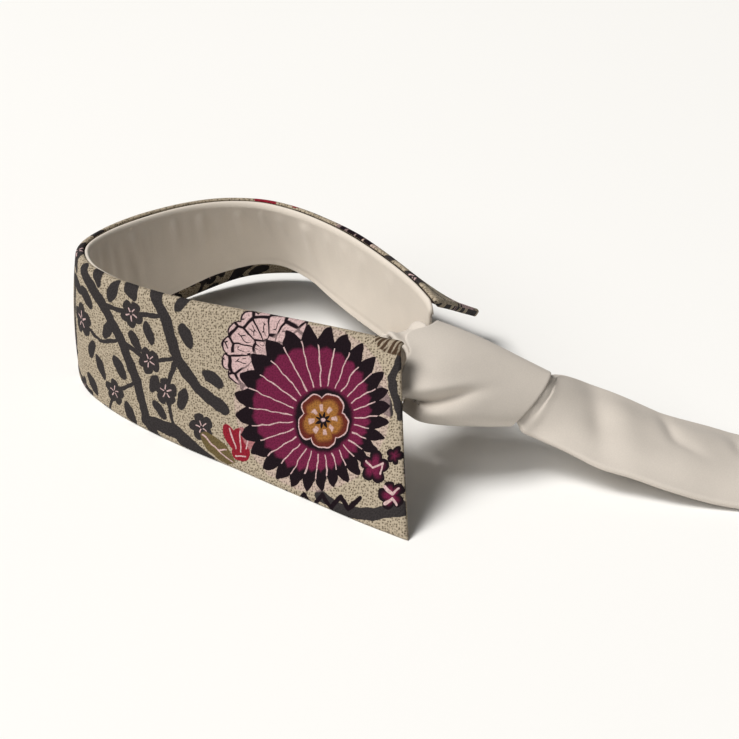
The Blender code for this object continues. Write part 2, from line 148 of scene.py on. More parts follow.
# Gathers of the lining: their place in the table above, height, width there, and how far down the
# lining each one reaches, as a share of its depth.
GATHERS = (
    # place, rise, width, reach
    (1.9, 0.35, 0.20, 0.7), (3.1, 0.45, 0.20, 0.8), (4.0, 0.4, 0.16, 0.7), (4.9, 0.6, 0.18, 0.8),
    (5.8, 0.5, 0.16, 0.9), (6.7, 0.6, 0.16, 0.8), (7.4, 0.6, 0.12, 1.0), (8.0, 0.6, 0.11, 1.0),
    (8.5, 0.8, 0.10, 1.1), (8.95, 0.8, 0.10, 1.1), (9.35, 0.7, 0.10, 1.0), (9.75, 1.0, 0.12, 1.1),
    (10.15, 0.8, 0.10, 1.0), (10.6, 1.2, 0.12, 1.1), (10.97, 0.7, 0.09, 0.8), (11.3, 0.5, 0.10, 0.7),
    (11.7, 1.1, 0.10, 1.0), (12.05, 0.5, 0.10, 0.6), (12.4, 1.1, 0.12, 0.9), (12.9, 0.6, 0.14, 0.7),
    (13.4, 1.0, 0.13, 0.9), (14.05, 0.7, 0.10, 0.6), (14.6, 0.5, 0.14, 0.7), (15.4, 0.9, 0.16, 0.9),
    (16.1, 0.4, 0.14, 0.6), (16.7, 0.4, 0.15, 0.6), (17.3, 0.35, 0.14, 0.5), (18.2, 0.3, 0.16, 0.5),
)
# How far a gather leans over the lining's depth, in rows of the table, the share of the depth where
# it has swelled to its full height, and the share of its reach from which it fades.
GATHER_LEAN = 0.25
GATHER_SWELLED = 0.16
GATHER_FADES = 0.2

# The front wrap of the knot, from its mouth at the collar to its lower end.
WRAP_SECTIONS = (
    # near_x, near_y, near_z, far_x, far_y, far_z, thick
    (-64.6, -37.4, 28.0, -31.8, -37.6, 42.8, 17.0),
    (-64.7, -45.4, 26.5, -30.0, -46.0, 40.0, 17.0),
    (-59.8, -53.8, 24.1, -29.0, -55.0, 37.4, 15.5),
    (-52.6, -62.4, 21.4, -28.4, -65.6, 34.2, 13.0),
    (-46.2, -70.4, 19.2, -27.3, -76.6, 30.5, 10.0),
)
WRAP_SQUARENESS = 2.6
WRAP_POINTS = 240
WRAP_STATIONS = 90

# The lip at the wrap's mouth: how far it runs out, its middle and half width across as shares of
# the half width, and the share that it keeps on the near side. Then how far the lip at the exit
# runs out and how much the wall thins there, the length over which both fade, and the lift of the
# ring from which they are full.
MOUTH_LIP = 6.8
MOUTH_LIP_MIDDLE = 0.25
MOUTH_LIP_WIDTH = 0.34
MOUTH_LIP_NEAR = 0.48
EXIT_LIP = 1.4
EXIT_THIN = 0.5
LIP_REACH = 13.0
LIP_FULL = 0.5

# A strip's arch has a flatter top than a plain squared cosine, by this share, and its folds fade
# towards its edges by this power of the cosine.
ARCH_FULLNESS = 1.2
FOLD_FADE = 0.5

# A strip's pointed end: how much it widens on each side for each millimetre from its tip.
TIP_TAPER = 1.0

# Points across and along each strip.
NECK_GRID = (14, 50)
PASS_GRID = (26, 70)
BLADE_GRID = (44, 300)
TAIL_GRID = (20, 160)

# Each strip inside the wrap: the place along the wrap, then the distance of each edge across and out
# from the wrap's middle. Outside it, the two edges as points. A crown lifts the strip's middle. The
# half width is that of its tip.
BLADE_INSIDE = (
    # place, near_side, near_lift, far_side, far_lift, crown
    (0.52, -7.6, 2.9, 7.6, 2.9, 0.9),
    (0.80, -8.2, 1.9, 8.2, 1.9, 0.9),
    (1.00, -9.9, 0.8, 9.6, 1.4, 2.0),
)
BLADE_SECTIONS = (
    # near_x, near_y, near_z, far_x, far_y, far_z, crown
    (-46.4, -73.8, 17.8, -24.7, -77.8, 28.8, 3.0),
    (-45.3, -78.2, 15.8, -20.9, -80.8, 26.6, 3.1),
    (-45.2, -88.0, 13.4, -15.5, -88.0, 22.0, 2.6),
    (-45.4, -100.0, 10.1, -12.5, -100.0, 17.3, 2.4),
    (-44.2, -112.0, 8.0, -8.8, -112.0, 12.0, 2.6),
    (-42.6, -125.0, 5.2, -2.8, -125.0, 7.2, 3.2),
    (-39.5, -139.0, 2.4, 2.8, -138.0, 2.8, 3.4),
    (-35.5, -155.0, 1.3, 8.4, -153.0, 1.3, 3.4),
    (-30.0, -180.0, 1.2, 15.0, -178.0, 1.2, 3.4),
    (-26.0, -206.0, 1.2, 19.8, -205.0, 1.2, 3.4),
    (-23.6, -232.0, 1.2, 22.8, -232.0, 1.2, 0.6),
    (-22.6, -262.0, 1.2, 24.4, -262.0, 1.2, 0.0),
    (-22.5, -287.3, 1.2, 24.8, -287.3, 1.2, 0.0),
    (-22.4, -310.0, 1.2, 25.0, -310.0, 1.2, 0.0),
)
BLADE_TIP_HALF = 1.0

TAIL_INSIDE = (
    # place, near_side, near_lift, far_side, far_lift
    (0.50, -6.5, -3.6, 6.0, -3.6),
    (0.80, -6.0, -2.6, 5.0, -2.6),
    (1.00, -6.0, -2.2, 4.0, -2.2),
)
TAIL_SECTIONS = (
    # near_x, near_y, near_z, far_x, far_y, far_z
    (-38.5, -79.0, 13.4, -25.5, -80.0, 15.8),
    (-38.8, -92.0, 9.6, -21.0, -92.0, 12.0),
    (-37.6, -105.0, 5.4, -18.4, -105.0, 6.8),
    (-34.0, -119.0, 2.2, -14.4, -119.0, 2.8),
    (-29.6, -134.0, 0.9, -9.6, -134.0, 0.9),
    (-24.2, -152.0, 0.9, -4.2, -152.0, 0.9),
    (-18.0, -176.0, 0.9, 2.0, -176.0, 0.9),
    (-14.7, -194.8, 0.9, 5.3, -194.8, 0.9),
    (-13.2, -204.0, 0.9, 6.8, -204.0, 0.9),
)
TAIL_TIP_HALF = 0.8

PASS_INSIDE = (
    # place, near_side, near_lift, far_side, far_lift
    (0.50, -6.6, 3.9, 8.0, 3.9),
    (0.25, -6.6, 4.4, 9.0, 4.6),
    (0.00, -7.0, 4.4, 10.0, 4.8),
)
PASS_SECTIONS = (
    # near_x, near_y, near_z, far_x, far_y, far_z
    (-50.0, -34.0, 41.0, -35.6, -36.0, 43.4),
    (-46.8, -29.2, 42.0, -33.4, -33.6, 43.0),
    (-44.2, -25.8, 42.6, -32.0, -31.0, 42.0),
    (-43.6, -24.4, 40.6, -32.2, -29.2, 39.6),
    (-45.5, -25.2, 34.5, -33.5, -28.2, 35.5),
    (-48.4, -28.0, 25.5, -35.0, -29.4, 26.5),
    (-49.0, -33.0, 21.6, -37.0, -34.0, 23.6),
    (-50.5, -39.0, 22.6, -39.0, -39.6, 25.8),
)
# How far the middle of the stretch over the knot lies hollow at its end.
PASS_HOLLOW = 2.4

NECK_NEAR_SECTIONS = (
    # low_x, low_y, low_z, high_x, high_y, high_z
    (-58.2, -12.0, 21.0, -55.4, -12.0, 44.0),
    (-57.6, -22.0, 21.0, -55.2, -22.0, 44.0),
    (-56.8, -31.0, 25.0, -56.0, -31.0, 38.0),
)
NECK_NEAR_INSIDE = (
    # place, low_side, low_lift, high_side, high_lift
    (0.06, -6.5, -5.0, -5.5, 2.0),
    (0.30, -4.5, -4.2, -4.0, 1.8),
)
NECK_FAR_SECTIONS = (
    # low_x, low_y, low_z, high_x, high_y, high_z
    (-11.6, -10.0, 14.5, -11.6, -10.0, 23.0),
    (-21.4, -22.0, 16.5, -21.4, -22.0, 30.5),
    (-28.6, -29.2, 21.0, -28.4, -29.4, 38.0),
    (-35.4, -34.0, 31.5, -35.8, -34.2, 40.0),
)
NECK_FAR_INSIDE = (
    # place, low_side, low_lift, high_side, high_lift
    (0.06, 6.5, -4.2, 7.5, 2.2),
    (0.30, 4.5, -4.0, 4.8, 1.8),
)

# The print, drawn in millimetres of the flat cut: X runs along the fold towards the near point and Y
# up from it. It repeats in a tile from one corner to the other.
PRINT_TILE = ((-200.0, -75.0, 0.0), (30.0, 35.0, 1.0))

# A field is the distance to the nearest edge of a motif, negative inside. NO_INK is where it starts,
# far from every edge, and INK_EDGE is how far the ink fades on both sides of an edge.
NO_INK = 50.0
INK_EDGE = 0.12

# Lines waver as a hand draws them: how far, and how many times in a millimetre.
HAND_WAVER = 1.4
HAND_PITCH = 0.22

# Petals of each flower, arms of the star in the chrysanthemum's eye and hairs of the brown flower.
CHRYSANTHEMUM_PETALS = 28
PEONY_PETALS = 15
EYE_PETALS = 5
BLOSSOM_PETALS = 5
STAR_ARMS = 8
BROWN_FLOWER_HAIRS = 60

# Radii in the chrysanthemum as shares of its own: its heart, its eye, the star in the eye and the
# ring of drops round the star.
HEART_RADIUS = 0.775
EYE_RADIUS = 0.35
STAR_RADIUS = 0.11
DROP_RING = 0.15

# Middle, turn in degrees and half sizes of the single motifs.
MAGENTA_FLOWER = (-29.8, -20.4, 0.0, 28.4, 26.8)
MAGENTA_EYE = (-25.2, -23.8, 0.0, 27.0, 26.0)
RED_FLOWER = (-172.0, 6.0, 20.0, 25.0, 25.0)
RED_EYE = (-170.5, 5.0, 20.0, 25.0, 25.0)
PEONY = (-45.5, -3.0, 0.0, 17.5, 15.5)
BROWN_FLOWER = (2.0, 12.0, 0.0, 15.0, 15.0)

# Branches and every other table of lines have the line's half width at its start and at its end,
# then its points.
BRANCHES = (
    # half_start, half_end, points
    (2.4, 2.0, (-122.0, 20.0), (-112.0, 10.0), (-104.0, -2.0), (-99.0, -16.0), (-97.0, -30.0),
     (-90.0, -42.0)),
    (2.2, 2.0, (-90.0, 20.0), (-84.0, 8.0), (-80.0, -6.0), (-72.0, -16.0), (-62.0, -22.0)),
    (1.0, 0.8, (-112.0, 10.0), (-98.0, 8.0), (-84.0, 8.0)),
    (1.0, 0.8, (-104.0, -2.0), (-92.0, -8.0), (-80.0, -6.0)),
    (0.8, 0.7, (-99.0, -16.0), (-112.0, -22.0), (-120.0, -34.0)),
    (2.4, 2.8, (-97.0, -30.0), (-84.0, -32.0), (-72.0, -40.0), (-60.0, -48.0)),
    (1.0, 0.8, (-80.0, -6.0), (-86.0, -18.0), (-84.0, -32.0)),
    (0.7, 0.7, (-104.0, -2.0), (-116.0, -4.0), (-126.0, 2.0)),
    (1.8, 2.2, (-26.0, -48.0), (-16.0, -53.0), (-6.0, -53.0), (6.0, -50.0)),
    (1.6, 1.0, (2.0, 0.0), (-2.0, -10.0), (2.0, -22.0)),
    (1.2, 2.0, (-44.0, 14.0), (-30.0, 10.0), (-16.0, 9.0), (-4.0, 4.0)),
    (1.6, 1.8, (-140.0, 30.0), (-132.0, 12.0), (-137.0, -8.0), (-150.0, -26.0), (-152.0, -44.0)),
    (2.2, 2.0, (-150.0, 32.0), (-142.0, 10.0), (-148.0, -6.0), (-163.0, -24.0), (-168.0, -46.0)),
    (0.9, 0.8, (-128.0, -26.0), (-141.0, -20.0), (-160.0, -34.0), (-186.0, -30.0)),
    (1.8, 2.2, (-196.0, -34.0), (-180.0, -48.0), (-172.0, -66.0)),
    (1.2, 1.6, (-60.0, 31.0), (-74.0, 26.0), (-92.0, 30.0)),
    (1.2, 1.6, (-30.0, 30.0), (-14.0, 24.0), (10.0, 28.0), (22.0, 16.0)),
    (1.6, 1.2, (8.0, -10.0), (18.0, -24.0), (16.0, -42.0)),
    (2.0, 1.5, (-120.0, -52.0), (-96.0, -60.0), (-70.0, -56.0), (-44.0, -68.0)),
)
BLOSSOMS = (
    # x, y, turn, radius
    (-126.0, 2.0, 10.0, 6.2), (-120.0, -34.0, 25.0, 5.4), (-112.0, -22.0, 5.0, 5.0),
    (-92.0, -8.0, 40.0, 5.0), (-86.0, -18.0, 15.0, 5.2), (-98.0, 8.0, 50.0, 5.0),
    (-72.0, -29.0, 30.0, 5.0), (-141.0, -10.0, 20.0, 5.6), (-152.0, -12.0, 55.0, 5.2),
    (-134.0, -26.0, 0.0, 5.0), (-188.0, -56.0, 30.0, 6.0), (-152.0, -58.0, 10.0, 6.0),
    (-112.0, 28.0, 33.0, 5.0), (-20.0, 24.0, 12.0, 5.4), (16.0, 2.0, 40.0, 6.0),
    (14.0, -56.0, 20.0, 6.0), (-96.0, -64.0, 8.0, 6.2), (-134.0, 24.0, 44.0, 5.4),
)
LEAVES = (
    # x, y, turn, half width, half height
    (-121.0, 11.0, 40.0, 2.4, 5.0), (-106.0, 15.0, -35.0, 2.2, 4.6), (-110.5, 1.0, -40.0, 2.2, 4.4),
    (-97.5, -1.5, 35.0, 2.0, 4.2), (-107.0, -12.0, 30.0, 2.4, 4.8), (-91.0, -16.0, -30.0, 2.0, 4.0),
    (-105.0, -29.0, 25.0, 2.2, 4.6), (-90.0, -25.0, 40.0, 2.0, 4.0), (-91.0, 2.0, 20.0, 2.0, 4.2),
    (-77.0, 14.0, -30.0, 2.2, 4.6), (-76.0, 2.0, 30.0, 2.2, 4.6), (-79.0, -20.0, -25.0, 2.2, 4.4),
    (-66.0, -12.0, 60.0, 2.2, 4.6), (-118.0, -14.0, 20.0, 2.2, 4.8), (-122.0, -8.0, -35.0, 2.0, 4.2),
    (-126.0, -22.0, 30.0, 2.4, 4.8), (-112.0, -38.0, 60.0, 2.4, 5.0), (-100.0, -44.0, 20.0, 2.6, 5.4),
    (-82.0, -40.0, 65.0, 2.6, 5.2), (-70.0, -48.0, 70.0, 2.6, 5.2), (-4.0, -17.0, 30.0, 2.4, 5.6),
    (7.0, -14.0, -30.0, 2.2, 5.0), (-98.0, 17.0, 30.0, 2.4, 5.0), (-150.0, 14.0, 30.0, 3.0, 7.0),
    (-136.0, -44.0, 60.0, 3.0, 7.0), (-174.0, -30.0, 15.0, 3.0, 6.0), (-45.0, 26.0, 70.0, 3.0, 7.0),
    (22.0, -12.0, 10.0, 3.0, 7.0), (-60.0, -60.0, 30.0, 3.0, 6.0), (-20.0, -66.0, 70.0, 3.0, 7.0),
    (-128.0, 14.0, 60.0, 2.4, 5.0), (-131.0, 22.0, 30.0, 2.4, 5.0), (-114.0, 20.0, 15.0, 2.2, 4.6),
    (-156.0, -30.0, 60.0, 5.0, 3.0), (-148.5, -19.5, 30.0, 3.0, 4.4), (-160.5, -37.5, 40.0, 5.0, 3.0),
)
SAWTOOTH = (
    # half_start, half_end, points
    (0.8, 0.8, (-46.0, -48.0), (-42.5, -52.0), (-39.0, -48.0), (-35.5, -52.0), (-32.0, -48.0)),
    (0.8, 0.8, (-32.0, -48.0), (-28.5, -52.0), (-25.0, -48.0), (-21.5, -52.0), (-18.0, -48.0),
     (-14.5, -52.0), (-11.0, -48.0)),
)
# As the table of leaves.
OLIVE_LEAVES = ((-66.0, -36.0, -35.0, 8.0, 3.2), (-160.0, -52.0, 30.0, 8.0, 3.6))
BUDS = ((-56.5, -33.0, 0.0, 3.6, 5.4), (-60.0, -31.5, 30.0, 2.6, 4.8), (-53.0, -31.5, -30.0, 2.6, 4.8),
        (-56.5, -36.5, 0.0, 3.6, 3.0), (8.0, -44.0, 20.0, 2.2, 3.8), (17.0, -52.0, 110.0, 5.4, 3.2),
        (-120.0, -66.0, 10.0, 6.0, 5.0))
VEINS = (
    # half_start, half_end, points
    (0.28, 0.22, (-56.5, -29.0), (-56.5, -36.0)),
    (0.28, 0.22, (-60.5, -28.5), (-58.5, -35.0)),
    (0.28, 0.22, (-52.5, -28.5), (-54.5, -35.0)),
    (0.28, 0.22, (-58.5, -37.6), (-54.5, -37.6)),
    (0.28, 0.22, (-72.0, -31.8), (-60.0, -40.2)),
    (0.28, 0.22, (-66.0, -36.0), (-62.5, -36.0)),
)
# As the table of blossoms.
PURPLE_FLOWERS = ((-6.0, -38.0, 10.0, 5.4), (0.5, -46.5, 35.0, 4.8), (1.0, -34.0, 0.0, 3.0),
                  (-120.0, -44.0, 20.0, 6.0), (20.0, 22.0, 20.0, 6.0))
CURLS = (
    # half_start, half_end, points
    (0.35, 0.3, (-9.0, -36.0), (-6.5, -38.0), (-3.0, -36.5), (-3.6, -40.0)),
    (0.6, 0.4, (-2.0, -44.0), (1.0, -46.0), (3.0, -44.6)),
    (0.6, 0.4, (-1.5, -49.0), (1.0, -47.5), (2.6, -49.4)),
)

# Soft folds, each a ridge, or a trough where its height is negative: its middle along and across
# the cloth in millimetres, the way it runs in degrees from along, its half length and half width.
LEAF_FOLDS = (
    # along, across, turn, length, width, height
    (60.0, 26.0, 82.0, 30.0, 14.0, 0.35),
    (112.0, 24.0, 78.0, 26.0, 8.0, -0.30),
    (168.0, 22.0, 90.0, 30.0, 9.0, 0.35),
    (214.0, 30.0, 84.0, 30.0, 8.0, -0.30),
    (262.0, 28.0, 95.0, 34.0, 12.0, 0.40),
)
WRAP_FOLDS = (
    # along, round, turn, length, width, height
    (7.0, -17.8, 36.0, 12.5, 2.6, -4.6),
    (3.0, -22.5, 30.0, 9.0, 4.5, -2.8),
    (16.0, -9.6, 33.0, 7.0, 1.8, -0.9),
    (9.0, -12.0, 38.0, 12.0, 2.4, 0.9),
    (24.0, -15.5, 16.0, 13.0, 4.0, 0.9),
    (28.0, 3.0, 12.0, 14.0, 5.0, -0.35),
)
BLADE_FOLDS = (
    # along, across, turn, length, width, height
    (44.5, 1.0, -66.0, 20.0, 4.6, -1.3),
    (54.0, 3.0, -66.0, 17.0, 4.6, 0.6),
    (67.0, 9.0, -58.0, 8.0, 2.4, -1.2),
    (75.5, 0.8, -28.0, 7.5, 2.4, -0.7),
    (75.5, 9.0, -50.0, 10.0, 4.6, 0.3),
    (92.0, 9.0, -60.0, 8.0, 3.2, -1.2),
    (122.0, 4.0, -60.0, 17.0, 6.0, -0.9),
    (152.0, -4.0, -70.0, 20.0, 7.0, 0.7),
    (186.0, 6.0, -58.0, 22.0, 8.0, -0.7),
    (214.0, -6.0, -66.0, 20.0, 7.0, 0.5),
)

# How much the plain cloths change in tone from yarn to yarn and from patch to patch, and how many
# patches there are in a metre.
YARN_TONE = 0.16
PATCH_TONE = 0.10
PATCHES = 90.0

# Settings of a soft step between two values.
SOFT = {"interpolation_type": 'SMOOTHSTEP', "clamp": False}

# The stage: a high soft box behind the collar's back, a low one beside the near leaf that reaches
# into the loop, a white room and a pale floor just under the cloth.
FLOOR = "floor"
FLOOR_SIZE = 30.0
FLOOR_GAP = 0.2 * MM
SOFT_BOXES = (
    # name, x, y, z, size, share of the key's power
    ("high_soft_box", -3.76, 5.36, 10.08, 5.0, 1.0),
    ("low_soft_box", -9.12, 3.68, 6.88, 6.0, 0.25),
)
KEY_COLOUR = (1.0, 0.986, 0.968)
FILL_COLOUR = (0.97, 0.985, 1.0)
SENSOR_WIDTH = 36.0


def linear(code):
    """The linear colour of an sRGB hex code."""
    digits = code.lstrip("#")
    value = np.array([int(digits[start:start + 2], 16) for start in (0, 2, 4)]) / 255
    value = np.where(value <= 0.04045, value / 12.92, ((value + 0.055) / 1.055) ** 2.4)
    return tuple(float(part) for part in value)


class CollarSizes(bpy.types.PropertyGroup):
    """Sizes of the collar and its cloth, in metres."""
    fold_height: FloatProperty(name="Fold height", unit='LENGTH', default=50.0 * MM,
                               description="Height of the folded edge over the table")
    roll_radius: FloatProperty(name="Roll radius", unit='LENGTH', default=1.9 * MM,
                               description="Radius of the roll at the folded edge")
    edge_swell: FloatProperty(name="Edge swell", unit='LENGTH', default=0.22 * MM,
                              description="How much the turnings thicken the leaf along its edges")
    gather_share: FloatProperty(name="Gathers", subtype='FACTOR', default=1.1, min=0.0, max=2.0,
                                description="Height of the lining's gathers as a share of the table")
    crepe_grain: FloatProperty(name="Crepe grain", unit='LENGTH', default=0.9 * MM,
                               description="Pitch of the pebbles in the printed crepe")


class PrintColours(bpy.types.PropertyGroup):
    """Colours of the printed cloth."""
    ground: FloatVectorProperty(name="Ground", subtype='COLOR', default=linear("#A79A86"),
                                description="Natural ground of the crepe")
    charcoal: FloatVectorProperty(name="Charcoal", subtype='COLOR', default=linear("#302C2C"),
                                  description="Branches, leaves and plum blossoms")
    aubergine: FloatVectorProperty(name="Aubergine", subtype='COLOR', default=linear("#150910"),
                                   description="Dark petals, outlines and sawtooth line")
    magenta: FloatVectorProperty(name="Magenta", subtype='COLOR', default=linear("#641A39"),
                                 description="Hearts of the magenta and purple flowers")
    blush: FloatVectorProperty(name="Blush", subtype='COLOR', default=linear("#C0A3A1"),
                               description="Pale petals and fine lines")
    gold: FloatVectorProperty(name="Gold", subtype='COLOR', default=linear("#8B5C2B"),
                              description="Eyes of the large flowers")
    russet: FloatVectorProperty(name="Russet", subtype='COLOR', default=linear("#5A2319"),
                                description="Rims of the eyes and outer petals of the red flower")
    red: FloatVectorProperty(name="Red", subtype='COLOR', default=linear("#821A28"),
                             description="Buds and heart of the red flower")
    olive: FloatVectorProperty(name="Olive", subtype='COLOR', default=linear("#615335"),
                               description="Large leaves")
    bark: FloatVectorProperty(name="Bark", subtype='COLOR', default=linear("#473628"),
                              description="Brown flower")
    pin: FloatVectorProperty(name="Pin", subtype='COLOR', default=linear("#4E422E"),
                             description="Dark pins between the pebbles of the ground")


class ClothColours(bpy.types.PropertyGroup):
    """Colours of the plain cloths."""
    cream: FloatVectorProperty(name="Cream crepe", subtype='COLOR', default=linear("#D0C7BC"),
                               description="Tie band")
    lining: FloatVectorProperty(name="Lining", subtype='COLOR', default=linear("#DAD0C3"),
                                description="Inside of the collar")


class StageSettings(bpy.types.PropertyGroup):
    """Camera, lights and floor."""
    azimuth: FloatProperty(name="Azimuth", subtype='ANGLE', default=radians(-67.0),
                           description="Direction from which the camera looks")
    elevation: FloatProperty(name="Elevation", subtype='ANGLE', default=radians(30.0),
                             description="Angle of the camera over the table")
    distance: FloatProperty(name="Distance", unit='LENGTH', default=0.640,
                            description="From the camera to the point it looks at")
    lens: FloatProperty(name="Lens", unit='CAMERA', default=85.0, description="Focal length")
    key: FloatProperty(name="Key light", unit='POWER', default=1440.0,
                       description="Power of the high soft box")
    fill: FloatProperty(name="Fill light", default=0.115, min=0.0,
                        description="Strength of the white room")
    floor: FloatVectorProperty(name="Floor", subtype='COLOR', default=linear("#F8F7F4"),
                               description="Pale floor")


def curve_through(rows, places):
    """A table's columns read off a Catmull-Rom curve through its rows, at places counted in rows."""
    table = np.array(rows, dtype=float)
    padded = np.vstack([2 * table[0] - table[1], table, 2 * table[-1] - table[-2]])
    cell = np.clip(places.astype(int), 0, len(table) - 2)
    t = (places - cell)[:, None]
    before, start, end, after = (padded[cell + step] for step in range(4))
    slope = end - before
    bend = 2 * before - 5 * start + 4 * end - after
    twist = 3 * (start - end) + after - before
    return start + 0.5 * t * (slope + t * (bend + t * twist))


def unit(vectors):
    """Each vector at length one."""
    return vectors / np.linalg.norm(vectors, axis=-1, keepdims=True)


def smooth_step(value, low, high):
    """0 below low, 1 above high, and 3t^2 - 2t^3 between them."""
    t = np.clip((value - low) / (high - low), 0, 1)
    return t * t * (3 - 2 * t)


def run_length(points):
    """Distance along a row of points."""
    steps = np.linalg.norm(np.diff(points, axis=0), axis=1)
    return np.concatenate([[0.0], np.cumsum(steps)])


def edge_stations(length, edge, count):
    """Distances along a length, as a quarter circle's at each end and even between them."""
    turn = np.linspace(0, np.pi / 2, EDGE_STEPS)
    near = edge * (1 - np.cos(turn))
    middle = np.linspace(edge, length - edge, count)[1:-1]
    return np.concatenate([near, middle, length - near[::-1]])


def roundness(distance, length, edge):
    """Share of the full thickness at each distance: a quarter circle over the edge at both ends."""
    near = np.clip(np.minimum(distance, length - distance) / edge, 0, 1)
    return np.sqrt(np.clip(1 - (1 - near) ** 2, 0, 1))


def folds(table, along, across):
    """Sum of long soft ridges, height * exp(-(x/length)^2 - (y/width)^2), each turned its own way."""
    total = np.zeros(np.broadcast(along, across).shape)
    for middle_along, middle_across, turn, length, width, height in table:
        angle = np.radians(turn)
        x = (along - middle_along) * np.cos(angle) + (across - middle_across) * np.sin(angle)
        y = (across - middle_across) * np.cos(angle) - (along - middle_along) * np.sin(angle)
        total = total + height * np.exp(-(x / length) ** 2 - (y / width) ** 2)
    return total


def grid_normals(surface, closed=False):
    """Unit normals of a grid, as the cross product of its two directions."""
    along = np.gradient(surface, axis=0)
    if closed:
        across = np.roll(surface, -1, axis=1) - np.roll(surface, 1, axis=1)
    else:
        across = np.gradient(surface, axis=1)
    return unit(np.cross(along, across))


def quads(number):
    """Corner numbers of the four-sided faces of a grid of vertex numbers."""
    return np.stack([number[:-1, :-1], number[1:, :-1], number[1:, 1:], number[:-1, 1:]],
                    axis=-1).reshape(-1, 4)


def enclosed_volume(points, faces):
    """Six times the volume inside closed faces, negative where they point inwards."""
    a, b, c, d = (points[faces[:, corner]] for corner in range(4))
    return (np.cross(b, c) * a).sum() + (np.cross(c, d) * a).sum()


def cloth_shell(name, middle, above, below, closed=False, cut=None, under_shift=(0.0, 0.0)):
    """A closed shell round a middle surface in table millimetres.

    Its two faces are the middle plus above and minus below times the normal. Where both are zero,
    as along the edges, the faces share their vertices. cut gives each grid point's place in the
    flat cut for the UV map, and the lower face reads the cut moved by under_shift.
    """
    rows, columns = middle.shape[:2]
    normal = grid_normals(middle, closed)
    top = (middle + normal * above[..., None]).reshape(-1, 3)
    foot = (middle - normal * below[..., None]).reshape(-1, 3)
    apart = ((above + below) > CLOSED_THICK).ravel()
    number = np.arange(rows * columns)
    under = number.copy()
    under[apart] = rows * columns + np.arange(apart.sum())
    number, under = number.reshape(rows, columns), under.reshape(rows, columns)
    if closed:
        number, under = (np.hstack([grid, grid[:, :1]]) for grid in (number, under))
    points = np.vstack([top, foot[apart]])
    points[:, 2] = np.maximum(points[:, 2], 0.0)
    points = (points - ORIGIN) * MM
    faces = np.vstack([quads(number), quads(under)[:, ::-1]])
    flipped = enclosed_volume(points, faces) < 0
    if flipped:
        faces = faces[:, ::-1]
    mesh = bpy.data.meshes.new(name)
    mesh.from_pydata(points.tolist(), [], faces.tolist())
    mesh.shade_smooth()
    if cut is not None:
        grid = np.arange(cut.shape[0] * cut.shape[1]).reshape(cut.shape[:2])
        upper = cut.reshape(-1, 2)[quads(grid)]
        lower = upper[:, ::-1] + np.array(under_shift)
        corners = np.vstack([upper, lower])
        if flipped:
            corners = corners[:, ::-1]
        layer = mesh.uv_layers.new(name="cut")
        layer.data.foreach_set("uv", corners.reshape(-1).astype(np.float32))
    shell = bpy.data.objects.new(name, mesh)
    bpy.context.scene.collection.objects.link(shell)
    return shell


def finish_piece(shell, material, nodes):
    """Gives a shell its material, hangs it under the root body and hides the model's parts that it stands
    for.
    """
    shell.data.materials.append(material)
    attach(shell, "root")
    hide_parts(*nodes)


def collar_lines(sizes, places):
    """Centre of the roll, outward direction, hem, and height and run-out of the lining's foot."""
    rows = curve_through(COLLAR_SECTIONS, places)
    along = unit(np.gradient(rows[:, 0:2], axis=0))
    outward = np.column_stack([-along[:, 1], along[:, 0], np.zeros(len(places))])
    centre_z = (sizes.fold_height - sizes.roll_radius) / MM - UPPER_THICK / 2
    centre = np.column_stack([rows[:, 0:2], np.full(len(places), centre_z)])
    return centre, outward, rows[:, 2:5], rows[:, 5], rows[:, 6]


def collar_places(count, edge, start=0.0):
    """Places along the collar table, their distances on the fold and its length.

    They are even in distance, and crowded round both ends.
    """
    fine = np.linspace(start, len(COLLAR_SECTIONS) - 1, COLLAR_FINE)
    length = run_length(curve_through(COLLAR_SECTIONS, fine)[:, 0:2])
    stations = edge_stations(length[-1], edge, count)
    return np.interp(stations, length, fine), stations, length[-1]


def flat_cut(surface, first, dist, places):
    """The collar laid flat, ruling by ruling, in millimetres.

    Each ruling keeps its length and the angles it makes with the next, so the top edge turns by
    the difference of those angles from one ruling to the next, and both are summed along it.
    """
    top, foot = surface[:, first], surface[:, -1]
    rule = unit(foot - top)
    step = np.diff(top, axis=0)
    pace = np.linalg.norm(step, axis=1)
    way = step / pace[:, None]
    leaving = np.arccos(np.clip((way * rule[:-1]).sum(axis=1), -1, 1))
    meeting = np.arccos(np.clip((way * rule[1:]).sum(axis=1), -1, 1))
    turn = np.concatenate([[0.0], np.cumsum(leaving - meeting)])
    heading = turn[:-1] + leaving
    edge = np.vstack([[0.0, 0.0], np.cumsum(pace[:, None] * np.column_stack(
        [np.cos(heading), np.sin(heading)]), axis=0)])
    ruling = np.column_stack([np.cos(turn), np.sin(turn)])
    flat = edge[:, None] + ruling[:, None] * dist[..., None]
    level = -np.pi / 2 - np.interp(CUT_LEVEL_AT, places, turn)
    spin = np.array([[np.cos(level), np.sin(level)], [-np.sin(level), np.cos(level)]])
    flat = flat @ spin
    return flat * np.array([-1.0, 1.0])


def seam_turn(places):
    """Turn of the seam round the roll, in radians from outward."""
    far = smooth_step(places, *SEAM_CHANGE)
    return np.radians(np.interp(far, (0, 1), SEAM_ANGLES))


